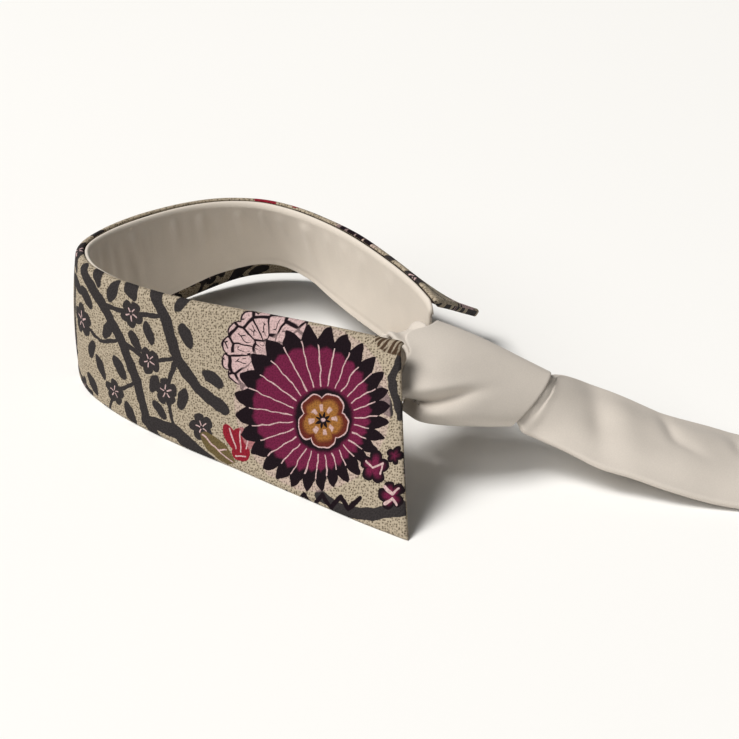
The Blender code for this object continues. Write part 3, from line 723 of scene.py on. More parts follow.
def leaf_middle(sizes, places, drop):
    """Middle of the printed leaf: round the roll from the seam, then straight to the hem.

    drop is the share of the way from roll to hem. The way bulges outward by a parabola.
    """
    centre, outward, hem, _, _ = collar_lines(sizes, places)
    radius = sizes.roll_radius / MM
    spread = np.linalg.norm((hem - centre)[:, :2], axis=1)
    flare = np.arctan2(spread, (centre - hem)[:, 2])
    seam = seam_turn(places)[:, None] - SEAM_GAP / radius / 2
    turn = seam + (flare[:, None] - seam) * edge_stations(1.0, ROLL_EDGE, ROLL_STATIONS)[None, :]
    roll = centre[:, None] + radius * (outward[:, None] * np.cos(turn)[..., None]
                                       + UP * np.sin(turn)[..., None])
    start = roll[:, -1]
    way = hem - start
    side = unit(np.cross(np.gradient(start, axis=0), way))
    crown = np.interp(smooth_step(places, *CROWN_CHANGE), (0, 1), FALL_CROWNS)
    bulge = crown[:, None] * 4 * drop * (1 - drop)
    fall = start[:, None] + way[:, None] * drop[None, :, None] + side[:, None] * bulge[..., None]
    return np.concatenate([roll, fall[:, 1:]], axis=1)


def printed_leaf(sizes):
    """Middle surface, thicknesses above and below it, and flat cut of the printed leaf.

    Each edge is rounded by a quarter circle. The leaf swells over the width of its turnings, and
    below the roll it has the under collar's thickness too.
    """
    places, stations, length = collar_places(LEAF_STATIONS, LEAF_EDGE)
    drop = edge_stations(FALL_DEPTH, LEAF_EDGE, FALL_STATIONS)[EDGE_STEPS - 1:] / FALL_DEPTH
    drop = (drop - drop[0]) / (1 - drop[0])
    surface = leaf_middle(sizes, places, drop)
    first = surface.shape[1] - len(drop)
    steps = np.linalg.norm(np.diff(surface, axis=1), axis=2)
    dist = np.hstack([np.zeros((len(places), 1)), np.cumsum(steps, axis=1)])
    deep = dist[:, -1:]
    dist = dist - dist[:, first:first + 1]
    to_hem = deep + dist[:, :1] - dist
    cut = flat_cut(surface, first, dist, places)
    surface = surface + grid_normals(surface) * folds(LEAF_FOLDS, stations[:, None], dist)[..., None]
    edge = roundness(stations, length, LEAF_EDGE)[:, None] * roundness(to_hem, ENDLESS, LEAF_EDGE)
    edge = edge * roundness(to_hem[:, :1] - to_hem, ENDLESS, UPPER_THICK / 2)
    to_end = np.minimum(stations, length - stations)[:, None]
    turning = 1 - smooth_step(np.minimum(to_hem, to_end), TURNING_WIDTH * 0.5, TURNING_WIDTH)
    swell = sizes.edge_swell / MM * turning
    lined = smooth_step(dist, *UNDER_JOINS)
    above = (UPPER_THICK / 2 + swell) * edge
    below = (UPPER_THICK / 2 + (GAP + UNDER_THICK) * lined + swell) * edge
    return surface, above, below, cut


def lining_surface(sizes):
    """Middle surface and half thickness of the gathered lining.

    It leaves the seam inside the roll, turns to hang straight down and runs to its foot, with the
    upper corner of its far end cut round. Each gather swells inward from the seam, leans with the
    depth and fades out at its reach. A row of stitches pinches the turned foot.
    """
    places, stations, length = collar_places(LINING_STATIONS, LINING_THICK / 2, LINING_START)
    centre, outward, _, foot_z, foot_out = collar_lines(sizes, places)
    radius = sizes.roll_radius / MM
    seam = seam_turn(places)[:, None] + SEAM_GAP / radius / 2
    turn = seam + (np.pi - seam) * edge_stations(1.0, LINING_ROLL_EDGE, LINING_ROLL_STATIONS)[None, :]
    roll = centre[:, None] + radius * (outward[:, None] * np.cos(turn)[..., None]
                                       + UP * np.sin(turn)[..., None])
    top = roll[:, -1]
    foot = top + outward * foot_out[:, None]
    foot[:, 2] = foot_z
    drop = edge_stations(LINING_DEPTH, LINING_THICK / 2, LINING_FALL_STATIONS)
    drop = drop[EDGE_STEPS - 1:] / LINING_DEPTH
    drop = (drop - drop[0]) / (1 - drop[0])
    hang = top[:, None] + (foot - top)[:, None] * drop[None, :, None]
    surface = np.concatenate([roll, hang[:, 1:]], axis=1)
    share = np.concatenate([np.zeros(turn.shape[1]), drop[1:]])
    rise = np.zeros(surface.shape[:2])
    for place, height, width, reach in GATHERS:
        leaning = place + GATHER_LEAN * share[None, :]
        across = np.exp(-((places[:, None] - leaning) / width) ** 2)
        down = smooth_step(share, 0.0, GATHER_SWELLED)
        down = down * (1 - smooth_step(share, GATHER_FADES * reach, reach))
        rise = rise + height * across * down
    rise = rise * sizes.gather_share
    surface = surface - outward[:, None] * rise[..., None]
    cut_off = LINING_CORNER * (1 - roundness(length - stations, ENDLESS, LINING_CORNER))[:, None]
    tall = surface[:, :1, 2] - foot_z[:, None]
    surface[..., 2] -= cut_off * (surface[..., 2] - foot_z[:, None]) / tall
    steps = np.linalg.norm(np.diff(surface, axis=1), axis=2)
    dist = np.hstack([np.zeros((len(places), 1)), np.cumsum(steps, axis=1)])
    to_foot = dist[:, -1:] - dist
    edge = roundness(stations, length, LINING_THICK / 2)[:, None]
    edge = edge * roundness(to_foot, ENDLESS, LINING_THICK / 2)
    edge = edge * roundness(dist, ENDLESS, LINING_THICK / 2)
    stitched = 1 - STITCH_PINCH * np.exp(-((to_foot - HEM_STITCH) / STITCH_WIDTH) ** 2)
    return surface, LINING_THICK / 2 * edge * stitched


def wrap_frame(places):
    """Centre, unit across, unit outward, half width and half depth of the wrap at places 0 to 1."""
    fine = np.linspace(0, len(WRAP_SECTIONS) - 1, WRAP_FINE)
    rows = curve_through(WRAP_SECTIONS, fine)
    axis_line = unit(np.gradient((rows[:, 0:3] + rows[:, 3:6]) / 2, axis=0))
    at = np.asarray(places, dtype=float) * (len(WRAP_SECTIONS) - 1)
    rows_at = curve_through(WRAP_SECTIONS, at)
    axis_at = unit(np.column_stack([np.interp(at, fine, axis_line[:, k]) for k in range(3)]))
    across = rows_at[:, 3:6] - rows_at[:, 0:3]
    half_width = np.linalg.norm(across, axis=1) / 2
    across = unit(across)
    outward = unit(np.cross(axis_at, across))
    centre = (rows_at[:, 0:3] + rows_at[:, 3:6]) / 2
    return centre, across, outward, half_width, rows_at[:, 6] / 2


def inside_wrap(rows):
    """The rows of a strip inside the wrap as edge points, with any column after them kept."""
    table = np.array(rows, dtype=float)
    centre, across, outward, _, _ = wrap_frame(table[:, 0])
    near = centre + across * table[:, 1:2] + outward * table[:, 2:3]
    far = centre + across * table[:, 3:4] + outward * table[:, 4:5]
    return np.hstack([near, far, table[:, 5:]])


def wrap_middle():
    """Middle surface and half thickness of the knot's front wrap.

    A flattened ring, |cos|^(2/n) by |sin|^(2/n), at each place. The folds move it along its normal,
    placed by the way along the wrap and the way round the ring from its crest. On the upper side
    both open ends run out into a soft lip, and the wall thins towards the exit.
    """
    fine = np.linspace(0, 1, WRAP_FINE)
    length = run_length(wrap_frame(fine)[0])
    stations = edge_stations(length[-1], WRAP_THICK / 2, WRAP_STATIONS)
    places = np.interp(stations, length, fine)
    centre, across, outward, half_width, half_depth = wrap_frame(places)
    angle = -np.pi / 2 - 2 * np.pi * np.arange(WRAP_POINTS) / WRAP_POINTS
    power = 2 / WRAP_SQUARENESS
    side = np.sign(np.cos(angle)) * np.abs(np.cos(angle)) ** power
    lift = np.sign(np.sin(angle)) * np.abs(np.sin(angle)) ** power
    outer = (centre[:, None] + across[:, None] * (half_width[:, None] * side)[..., None]
             + outward[:, None] * (half_depth[:, None] * lift)[..., None])
    steps = np.linalg.norm(np.diff(outer, axis=1), axis=2)
    round_way = np.hstack([np.zeros((len(places), 1)), np.cumsum(steps, axis=1)])
    round_way = round_way - round_way[:, WRAP_POINTS // 2:WRAP_POINTS // 2 + 1]
    press = folds(WRAP_FOLDS, stations[:, None], round_way)
    outer = outer + grid_normals(outer, closed=True) * press[..., None]
    upper = smooth_step(lift, 0.0, LIP_FULL)[None, :]
    beside = side - MOUTH_LIP_MIDDLE
    mouth = np.exp(-(beside / MOUTH_LIP_WIDTH) ** 2)
    mouth = MOUTH_LIP * np.where(beside < 0, np.maximum(mouth, MOUTH_LIP_NEAR), mouth)[None, :]
    mouth = mouth * (1 - smooth_step(stations, 0.0, LIP_REACH))[:, None]
    leaving = smooth_step(stations, length[-1] - LIP_REACH, length[-1])
    exit_lip = EXIT_LIP * (1 - side ** 2)[None, :] * leaving[:, None]
    axis_line = unit(np.gradient(centre, axis=0))
    outer = outer + axis_line[:, None] * ((exit_lip - mouth) * upper)[..., None]
    half = WRAP_THICK / 2 * (1 - EXIT_THIN * leaving)
    middle = outer - grid_normals(outer, closed=True) * half[:, None, None]
    half = half * roundness(stations, length[-1], WRAP_THICK / 2)
    return middle, half[:, None] * np.ones((1, len(angle)))


def strip_middle(rows, thick, grid, tip_half=None, relief=()):
    """Middle surface and half thickness of a strip between the two edges of a table.

    The table's seventh column, if any, lifts the strip's middle by an arch. Its end may be cut to a
    point, and relief adds soft folds. It is never lower than half its thickness over the table.
    """
    points, count = grid
    fine = np.linspace(0, len(rows) - 1, STRIP_FINE)
    curve = curve_through(rows, fine)
    length = run_length((curve[:, 0:3] + curve[:, 3:6]) / 2)
    stations = edge_stations(length[-1], thick / 2, count)
    table = curve_through(rows, np.interp(stations, length, fine))
    middle = (table[:, 0:3] + table[:, 3:6]) / 2
    half = (table[:, 3:6] - table[:, 0:3]) / 2
    width = np.linalg.norm(half, axis=1)
    if tip_half is not None:
        left = length[-1] - stations
        half = half * (np.minimum(width, tip_half + left * TIP_TAPER) / width)[:, None]
        width = np.linalg.norm(half, axis=1)
    typical = 2 * float(width.mean())
    side = 2 * edge_stations(typical, thick / 2, points) / typical - 1
    lift = unit(np.cross(half, np.gradient(middle, axis=0)))
    lift = lift * np.sign(lift[:, 2:3])
    quarter = np.pi / 2 * side
    rise = folds(relief, stations[:, None], width[:, None] * side) * np.cos(quarter) ** FOLD_FADE
    if table.shape[1] > 6:
        arch = np.cos(quarter) ** 2 * (1 + ARCH_FULLNESS * np.sin(quarter) ** 2)
        rise = rise + table[:, 6:7] * arch
    surface = middle[:, None] + half[:, None] * side[None, :, None] + lift[:, None] * rise[..., None]
    thin = roundness(stations, length[-1], thick / 2)[:, None]
    thin = thin * roundness((side + 1) * width[:, None], 2 * width[:, None], thick / 2)
    surface[..., 2] = np.maximum(surface[..., 2], thick / 2)
    return surface, thick / 2 * thin


def put(tree, kind, inputs=(), **settings):
    """Adds a node: its inputs are values, sockets or nodes, in the order of its open sockets, or named."""
    node = tree.nodes.new(kind if kind.startswith("Node") else "ShaderNode" + kind)
    for name, value in settings.items():
        setattr(node, name, value)
    open_sockets = [socket for socket in node.inputs if socket.enabled]
    named = inputs.items() if isinstance(inputs, dict) else enumerate(inputs)
    for key, value in named:
        socket = node.inputs[key] if isinstance(key, str) else open_sockets[key]
        if isinstance(value, bpy.types.Node):
            value = [output for output in value.outputs if output.enabled][0]
        if isinstance(value, bpy.types.NodeSocket):
            tree.links.new(value, socket)
        else:
            socket.default_value = value
    return node


def motif(name, inputs, outputs):
    """An empty node group and its input node, with sockets listed as (name, kind)."""
    tree = bpy.data.node_groups.new(name, "ShaderNodeTree")
    for direction, sockets in (("INPUT", inputs), ("OUTPUT", outputs)):
        for socket, kind in sockets:
            tree.interface.new_socket(socket, in_out=direction, socket_type="NodeSocket" + kind)
    return tree, put(tree, "NodeGroupInput")


def stroke_motif():
    """A brush stroke along a way from its start: min(field, distance to it - half width).

    The nearest point of the line is start + way * h, where h is the share (point - start) . way /
    way . way held between 0 and 1.
    """
    tree, given = motif("Stroke", (("Field", "Float"), ("Point", "Vector"), ("Start", "Vector"),
                                   ("Way", "Vector"), ("Half start", "Float"),
                                   ("Half end", "Float")),
                        (("Field", "Float"),))
    way = given.outputs["Way"]
    local = put(tree, "VectorMath", (given.outputs["Point"], given.outputs["Start"]),
                operation='SUBTRACT')
    covered = put(tree, "VectorMath", (local, way), operation='DOT_PRODUCT')
    square = put(tree, "VectorMath", (way, way), operation='DOT_PRODUCT')
    share = put(tree, "Math", (covered, square), operation='DIVIDE')
    share = put(tree, "Clamp", (share, 0.0, 1.0))
    nearest = put(tree, "VectorMath", (way, share), operation='SCALE')
    away = put(tree, "VectorMath", (local, nearest), operation='DISTANCE')
    half = put(tree, "MapRange", (share, 0.0, 1.0, given.outputs["Half start"],
                                  given.outputs["Half end"]), **SOFT)
    signed = put(tree, "Math", (away, half), operation='SUBTRACT')
    field = put(tree, "Math", (given.outputs["Field"], signed), operation='MINIMUM')
    put(tree, "NodeGroupOutput", {"Field": field})
    return tree


def polar(tree, point, petals, start=0.0):
    """Radius, turns counted in petals, and the place across each: 0 on its middle, 1 between two."""
    across = put(tree, "VectorMath", (point, (1.0, 0.0, 0.0)), operation='DOT_PRODUCT')
    up = put(tree, "VectorMath", (point, (0.0, 1.0, 0.0)), operation='DOT_PRODUCT')
    radius = put(tree, "VectorMath", (point,), operation='LENGTH')
    angle = put(tree, "Math", (up, across), operation='ARCTAN2')
    turns = put(tree, "Math", (angle, petals / (2 * np.pi), start), operation='MULTIPLY_ADD')
    fold = put(tree, "Math", (turns, 0.5), operation='PINGPONG')
    return radius.outputs["Value"], turns, put(tree, "Math", (fold, 2.0), operation='MULTIPLY')


def blossom_motif():
    """A plum blossom: five round petals of edge 1 - 0.3 t^2.4, and pale stamens from its middle."""
    tree, given = motif("Plum blossom", (("Field", "Float"), ("Mark", "Float"), ("Point", "Vector"),
                                         ("Radius", "Float")),
                        (("Field", "Float"), ("Mark", "Float")))
    radius, _, across = polar(tree, given.outputs["Point"], BLOSSOM_PETALS)
    notch = put(tree, "Math", (across, 2.4), operation='POWER')
    edge = put(tree, "Math", (notch, -0.30, 1.0), operation='MULTIPLY_ADD')
    signed = put(tree, "Math", (radius, edge), operation='SUBTRACT')
    signed = put(tree, "Math", (signed, given.outputs["Radius"]), operation='MULTIPLY')
    field = put(tree, "Math", (given.outputs["Field"], signed), operation='MINIMUM')
    ray = put(tree, "Math", (across, radius), operation='MULTIPLY')
    thin = put(tree, "MapRange", (ray, 0.05, 0.09, 1.0, 0.0), **SOFT)
    inner = put(tree, "MapRange", (radius, 0.10, 0.16, 0.0, 1.0), **SOFT)
    outer = put(tree, "MapRange", (radius, 0.44, 0.52, 1.0, 0.0), **SOFT)
    mark = put(tree, "Math", (thin, inner), operation='MULTIPLY')
    mark = put(tree, "Math", (mark, outer), operation='MULTIPLY')
    mark = put(tree, "Math", (given.outputs["Mark"], mark), operation='MAXIMUM')
    put(tree, "NodeGroupOutput", {"Field": field, "Mark": mark})
    return tree


def chrysanthemum_motif():
    """A large open flower of radius 1 over a base colour, its eye at a place of its own.

    Pointed dark petals of edge 1 - 0.15 t^1.4 radiate from the eye, with pale ground between their
    tips, a coloured heart inside them and a thin pale line between each two. The five-lobed eye has
    a pale rim, a dark edge, an eight-armed star and pale drops round it.
    """
    tree, given = motif("Chrysanthemum", (("Base", "Color"), ("Point", "Vector"), ("Eye", "Vector"),
                                          ("Petal", "Color"), ("Heart", "Color"), ("Line", "Color"),
                                          ("Gold", "Color"), ("Rim", "Color")),
                        (("Color", "Color"),))
    # Pale ground, then the petals over it.
    reach, turns, across = polar(tree, given.outputs["Eye"], CHRYSANTHEMUM_PETALS)
    radius = put(tree, "VectorMath", (given.outputs["Point"],), operation='LENGTH')
    mask = put(tree, "MapRange", (radius, 0.98, 1.01, 0.35, 0.0), **SOFT)
    result = put(tree, "Mix", (mask, given.outputs["Base"], given.outputs["Line"]), data_type='RGBA')
    sharp = put(tree, "Math", (across, 1.4), operation='POWER')
    edge = put(tree, "Math", (sharp, -0.15, 1.0), operation='MULTIPLY_ADD')
    inside = put(tree, "Math", (edge, radius), operation='SUBTRACT')
    mask = put(tree, "MapRange", (inside, -0.006, 0.006, 0.0, 1.0), **SOFT)
    result = put(tree, "Mix", (mask, result, given.outputs["Petal"]), data_type='RGBA')

    # The heart, with the petals' dark ends left round the eye.
    edge = put(tree, "Math", (across, -0.05, HEART_RADIUS), operation='MULTIPLY_ADD')
    inside = put(tree, "Math", (edge, radius), operation='SUBTRACT')
    mask = put(tree, "MapRange", (inside, -0.02, 0.04, 0.0, 1.0), **SOFT)
    hole = put(tree, "MapRange", (reach, 0.36, 0.43, 0.0, 1.0), **SOFT)
    mask = put(tree, "Math", (mask, hole), operation='MULTIPLY')
    result = put(tree, "Mix", (mask, result, given.outputs["Heart"]), data_type='RGBA')

    # Pale lines that end unevenly.
    apart = put(tree, "Math", (1.0, across), operation='SUBTRACT')
    apart = put(tree, "Math", (apart, reach), operation='MULTIPLY')
    line = put(tree, "MapRange", (apart, 0.03, 0.10, 1.0, 0.0), **SOFT)
    start = put(tree, "MapRange", (reach, 0.41, 0.43, 0.0, 1.0), **SOFT)
    varied = put(tree, "TexNoise", (turns, 0.5, 0.0), noise_dimensions='1D')
    reach_end = put(tree, "Math", (varied, 0.20, 0.71), operation='MULTIPLY_ADD')
    stop = put(tree, "Math", (reach_end, radius), operation='GREATER_THAN')
    line = put(tree, "Math", (line, start), operation='MULTIPLY')
    line = put(tree, "Math", (line, stop), operation='MULTIPLY')
    result = put(tree, "Mix", (line, result, given.outputs["Line"]), data_type='RGBA')

    # The eye from its pale rim inwards.
    radius, _, across = polar(tree, given.outputs["Eye"], EYE_PETALS, 0.2)
    notch = put(tree, "Math", (across, 3.0), operation='POWER')
    edge = put(tree, "Math", (notch, -0.07, EYE_RADIUS), operation='MULTIPLY_ADD')
    inside = put(tree, "Math", (edge, radius), operation='SUBTRACT')
    mask = put(tree, "MapRange", (inside, -0.004, 0.004, 0.0, 1.0), **SOFT)
    result = put(tree, "Mix", (mask, result, given.outputs["Line"]), data_type='RGBA')
    mask = put(tree, "MapRange", (inside, 0.012, 0.020, 0.0, 1.0), **SOFT)
    result = put(tree, "Mix", (mask, result, given.outputs["Rim"]), data_type='RGBA')
    mask = put(tree, "MapRange", (inside, 0.05, 0.12, 0.0, 1.0), **SOFT)
    result = put(tree, "Mix", (mask, result, given.outputs["Gold"]), data_type='RGBA')

    # The drops, the star over them and a pale pip in its middle.
    radius, _, across = polar(tree, given.outputs["Eye"], STAR_ARMS, 0.3)
    edge = put(tree, "Math", (across, -0.07, STAR_RADIUS), operation='MULTIPLY_ADD')
    inside = put(tree, "Math", (edge, radius), operation='SUBTRACT')
    star = put(tree, "MapRange", (inside, -0.008, 0.008, 0.0, 1.0), **SOFT)
    ring = put(tree, "Math", (radius, DROP_RING), operation='SUBTRACT')
    ring = put(tree, "Math", (ring,), operation='ABSOLUTE')
    ring = put(tree, "MapRange", (ring, 0.025, 0.05, 1.0, 0.0), **SOFT)
    drop = put(tree, "MapRange", (across, 0.45, 0.70, 0.0, 0.8), **SOFT)
    drop = put(tree, "Math", (drop, ring), operation='MULTIPLY')
    result = put(tree, "Mix", (drop, result, given.outputs["Line"]), data_type='RGBA')
    result = put(tree, "Mix", (star, result, given.outputs["Petal"]), data_type='RGBA')
    pip = put(tree, "MapRange", (radius, 0.015, 0.03, 1.0, 0.0), **SOFT)
    result = put(tree, "Mix", (pip, result, given.outputs["Line"]), data_type='RGBA')
    put(tree, "NodeGroupOutput", {"Color": result})
    return tree


def peony_motif():
    """A flower in line, of edge 1 - 0.1 t^2.2: pale petals in rings, outlined, with loops in them."""
    tree, given = motif("Line peony", (("Base", "Color"), ("Point", "Vector"), ("Petal", "Color"),
                                       ("Line", "Color")),
                        (("Color", "Color"),))
    radius, turns, across = polar(tree, given.outputs["Point"], PEONY_PETALS)
    notch = put(tree, "Math", (across, 2.2), operation='POWER')
    edge = put(tree, "Math", (notch, -0.10, 1.0), operation='MULTIPLY_ADD')
    inside = put(tree, "Math", (edge, radius), operation='SUBTRACT')
    mask = put(tree, "MapRange", (inside, -0.01, 0.01, 0.0, 1.0), **SOFT)
    result = put(tree, "Mix", (mask, given.outputs["Base"], given.outputs["Petal"]), data_type='RGBA')
    place = put(tree, "CombineXYZ", (turns, put(tree, "Math", (radius, 2.1), operation='MULTIPLY')))
    petals = put(tree, "TexVoronoi", {"Vector": place, "Scale": 1.0, "Randomness": 0.45},
                 voronoi_dimensions='2D', feature='DISTANCE_TO_EDGE')
    outline = put(tree, "MapRange", (petals, 0.045, 0.10, 1.0, 0.0), **SOFT)
    halves = put(tree, "TexVoronoi", {"Vector": place, "Scale": 1.6, "Randomness": 0.8},
                 voronoi_dimensions='2D', feature='DISTANCE_TO_EDGE')
    loop = put(tree, "MapRange", (halves, 0.03, 0.07, 1.0, 0.0), **SOFT)
    deep = put(tree, "MapRange", (petals, 0.20, 0.26, 0.0, 1.0), **SOFT)
    loop = put(tree, "Math", (loop, deep), operation='MULTIPLY')
    lines = put(tree, "Math", (outline, loop), operation='MAXIMUM')
    rim = put(tree, "MapRange", (inside, 0.03, 0.05, 1.0, 0.0), **SOFT)
    lines = put(tree, "Math", (lines, rim), operation='MAXIMUM')
    lines = put(tree, "Math", (lines, mask), operation='MULTIPLY')
    result = put(tree, "Mix", (lines, result, given.outputs["Line"]), data_type='RGBA')
    put(tree, "NodeGroupOutput", {"Color": result})
    return tree


def colour(value):
    """A colour with its alpha."""
    return (*value, 1.0)


def placed(tree, point, x, y, turn, width, height):
    """A point seen from a motif's own middle, along its two axes and measured in its half sizes."""
    angle = np.radians(turn)
    along = (float(np.cos(angle)) / width, float(np.sin(angle)) / width, 0.0)
    up = (-float(np.sin(angle)) / height, float(np.cos(angle)) / height, 0.0)
    local = put(tree, "VectorMath", (point, (x, y, 0.0)), operation='SUBTRACT')
    along = put(tree, "VectorMath", (local, along), operation='DOT_PRODUCT')
    up = put(tree, "VectorMath", (local, up), operation='DOT_PRODUCT')
    return put(tree, "CombineXYZ", (along, up))


def strokes(tree, field, point, table, group):
    """Runs every line of a table of strokes into the field."""
    for half_start, half_end, *line in table:
        halves = np.linspace(half_start, half_end, len(line))
        for step, (start, end) in enumerate(zip(line, line[1:])):
            way = (end[0] - start[0], end[1] - start[1], 0.0)
            field = put(tree, "Group", {"Field": field, "Point": point, "Start": (*start, 0.0),
                                        "Way": way, "Half start": float(halves[step]),
                                        "Half end": float(halves[step + 1])}, node_tree=group)
    return field


def lobes(tree, field, point, table):
    """Runs every ellipse of a table into the field."""
    for x, y, turn, width, height in table:
        local = placed(tree, point, x, y, turn, width, height)
        away = put(tree, "VectorMath", (local,), operation='LENGTH')
        signed = put(tree, "Math", (away, 1.0), operation='SUBTRACT')
        signed = put(tree, "Math", (signed, min(width, height)), operation='MULTIPLY')
        field = put(tree, "Math", (field, signed), operation='MINIMUM')
    return field


def blossoms(tree, field, mark, point, table, group):
    """Runs every blossom of a table into the field and the mark of the stamens."""
    for x, y, turn, radius in table:
        local = placed(tree, point, x, y, turn, radius, radius)
        flower = put(tree, "Group", {"Field": field, "Mark": mark, "Point": local,
                                     "Radius": radius}, node_tree=group)
        field, mark = flower.outputs["Field"], flower.outputs["Mark"]
    return field, mark


def inked(tree, base, field, ink):
    """The base colour with ink wherever the field is below zero, soft at the edge."""
    mask = put(tree, "MapRange", (field, -INK_EDGE, INK_EDGE, 1.0, 0.0), **SOFT)
    return put(tree, "Mix", (mask, base, ink), data_type='RGBA')


def print_material(colours, grain):
    """Pebbled crepe with a flower print: a coarse grain, matt, and inks soft at their edges.

    Its yarns are about 0.2 mm apart, too fine to show, so they are drawn about twice as coarse.
    """
    material = bpy.data.materials.new("Printed crepe")
    material.use_nodes = True
    tree = material.node_tree
    tree.nodes.clear()
    stroke, blossom = stroke_motif(), blossom_motif()
    chrysanthemum, peony = chrysanthemum_motif(), peony_motif()
    cut = put(tree, "UVMap", uv_map="cut")
    noise = put(tree, "TexNoise", (cut, HAND_PITCH, 1.0), noise_dimensions='2D')
    drawn = put(tree, "VectorMath", (noise.outputs["Color"], (HAND_WAVER, HAND_WAVER, 0.0), cut),
                operation='MULTIPLY_ADD')
    drawn = put(tree, "VectorMath", (drawn, (HAND_WAVER / 2, HAND_WAVER / 2, 0.0)),
                operation='SUBTRACT')
    point = put(tree, "VectorMath", (drawn, PRINT_TILE[1], PRINT_TILE[0]), operation='WRAP')

    # Ground, with the dark pins between the pebbles of the weave.
    pebbles = put(tree, "TexVoronoi", {"Vector": cut, "Scale": 1.0 / grain, "Randomness": 0.75},
                  voronoi_dimensions='2D', feature='F1')
    pins = put(tree, "MapRange", (pebbles, 0.16, 0.46, 1.0, 0.0), **SOFT)
    uneven = put(tree, "TexNoise", (cut, 0.8, 2.0), noise_dimensions='2D')
    uneven = put(tree, "MapRange", (uneven, 0.38, 0.60, 0.20, 0.85), **SOFT)
    dark = put(tree, "Math", (pins, uneven), operation='MULTIPLY')
    base = put(tree, "Mix", (dark, colour(colours.ground), colour(colours.pin)), data_type='RGBA')

    # Pale flower in line.
    local = placed(tree, point, *PEONY)
    base = put(tree, "Group", {"Base": base, "Point": local, "Petal": colour(colours.blush),
                               "Line": colour(colours.aubergine)}, node_tree=peony)

    # Charcoal branches, leaves and blossoms.
    field = strokes(tree, NO_INK, point, BRANCHES, stroke)
    field = lobes(tree, field, point, LEAVES)
    field, mark = blossoms(tree, field, 0.0, point, BLOSSOMS, blossom)
    base = inked(tree, base, field, colour(colours.charcoal))
    base = put(tree, "Mix", (mark, base, colour(colours.blush)), data_type='RGBA')

    # Sawtooth line along the hem, in aubergine.
    field = strokes(tree, NO_INK, point, SAWTOOTH, stroke)
    base = inked(tree, base, field, colour(colours.aubergine))

    # Olive leaves and red buds, the near ones with pale veins.
    base = inked(tree, base, lobes(tree, NO_INK, point, OLIVE_LEAVES), colour(colours.olive))
    base = inked(tree, base, lobes(tree, NO_INK, point, BUDS), colour(colours.red))
    veins = strokes(tree, NO_INK, point, VEINS, stroke)
    base = inked(tree, base, veins, colour(colours.blush))

    # Large open flowers, the magenta one and the red one.
    for place, eye, petal, heart in ((MAGENTA_FLOWER, MAGENTA_EYE, colours.aubergine, colours.magenta),
                                     (RED_FLOWER, RED_EYE, colours.russet, colours.red)):
        local, middle = placed(tree, point, *place), placed(tree, point, *eye)
        base = put(tree, "Group", {"Base": base, "Point": local, "Eye": middle,
                                   "Petal": colour(petal), "Heart": colour(heart),
                                   "Line": colour(colours.blush), "Gold": colour(colours.gold),
                                   "Rim": colour(colours.russet)}, node_tree=chrysanthemum)

    # Small purple flowers: a dark outline, a bright inside and pale curls.
    field, _ = blossoms(tree, NO_INK, 0.0, point, PURPLE_FLOWERS, blossom)
    base = inked(tree, base, field, colour(colours.aubergine))
    bright = put(tree, "MapRange", (field, -3.2, -0.6, 1.0, 0.0), **SOFT)
    base = put(tree, "Mix", (bright, base, colour(colours.magenta)), data_type='RGBA')
    base = inked(tree, base, strokes(tree, NO_INK, point, CURLS, stroke), colour(colours.blush))

    # Brown flower at the corner, all fine hairs.
    local = placed(tree, point, *BROWN_FLOWER)
    radius, turns, _ = polar(tree, local, BROWN_FLOWER_HAIRS)
    hairs = put(tree, "CombineXYZ", (turns, radius))
    hairs = put(tree, "TexNoise", (hairs, 1.0, 0.0), noise_dimensions='2D')
    hairs = put(tree, "MapRange", (hairs, 0.50, 0.62, 0.0, 0.8), **SOFT)
    hairs = put(tree, "Mix", (hairs, colour(colours.bark), colour(colours.ground)), data_type='RGBA')
    mask = put(tree, "MapRange", (radius, 0.97, 1.0, 1.0, 0.0), **SOFT)
    base = put(tree, "Mix", (mask, base, hairs), data_type='RGBA')

    # The weave under the ink: fine yarns, with painted light and shade over the pebbles: a little lighter
    # on the raised pebbles, darker in the pins between them.
    yarn = put(tree, "TexNoise", (cut, 2.4, 2.0, 0.7), noise_dimensions='2D')
    yarn = put(tree, "Math", (yarn, 0.9, 0.55), operation='MULTIPLY_ADD')
    shade = put(tree, "MapRange", (pebbles, 0.10, 0.50, 0.80, 1.08), **SOFT)
    shade = put(tree, "Math", (shade, yarn), operation='MULTIPLY')
    base = put(tree, "VectorMath", (base, shade), operation='SCALE')
    bump = put(tree, "Bump", {"Strength": 0.6, "Distance": 0.2 * MM, "Height": pebbles})
    shader = put(tree, "BsdfPrincipled", {"Base Color": base, "Roughness": 0.85, "IOR": 1.45,
                                          "Specular IOR Level": 0.15, "Normal": bump})
    put(tree, "OutputMaterial", {"Surface": shader})
    return material


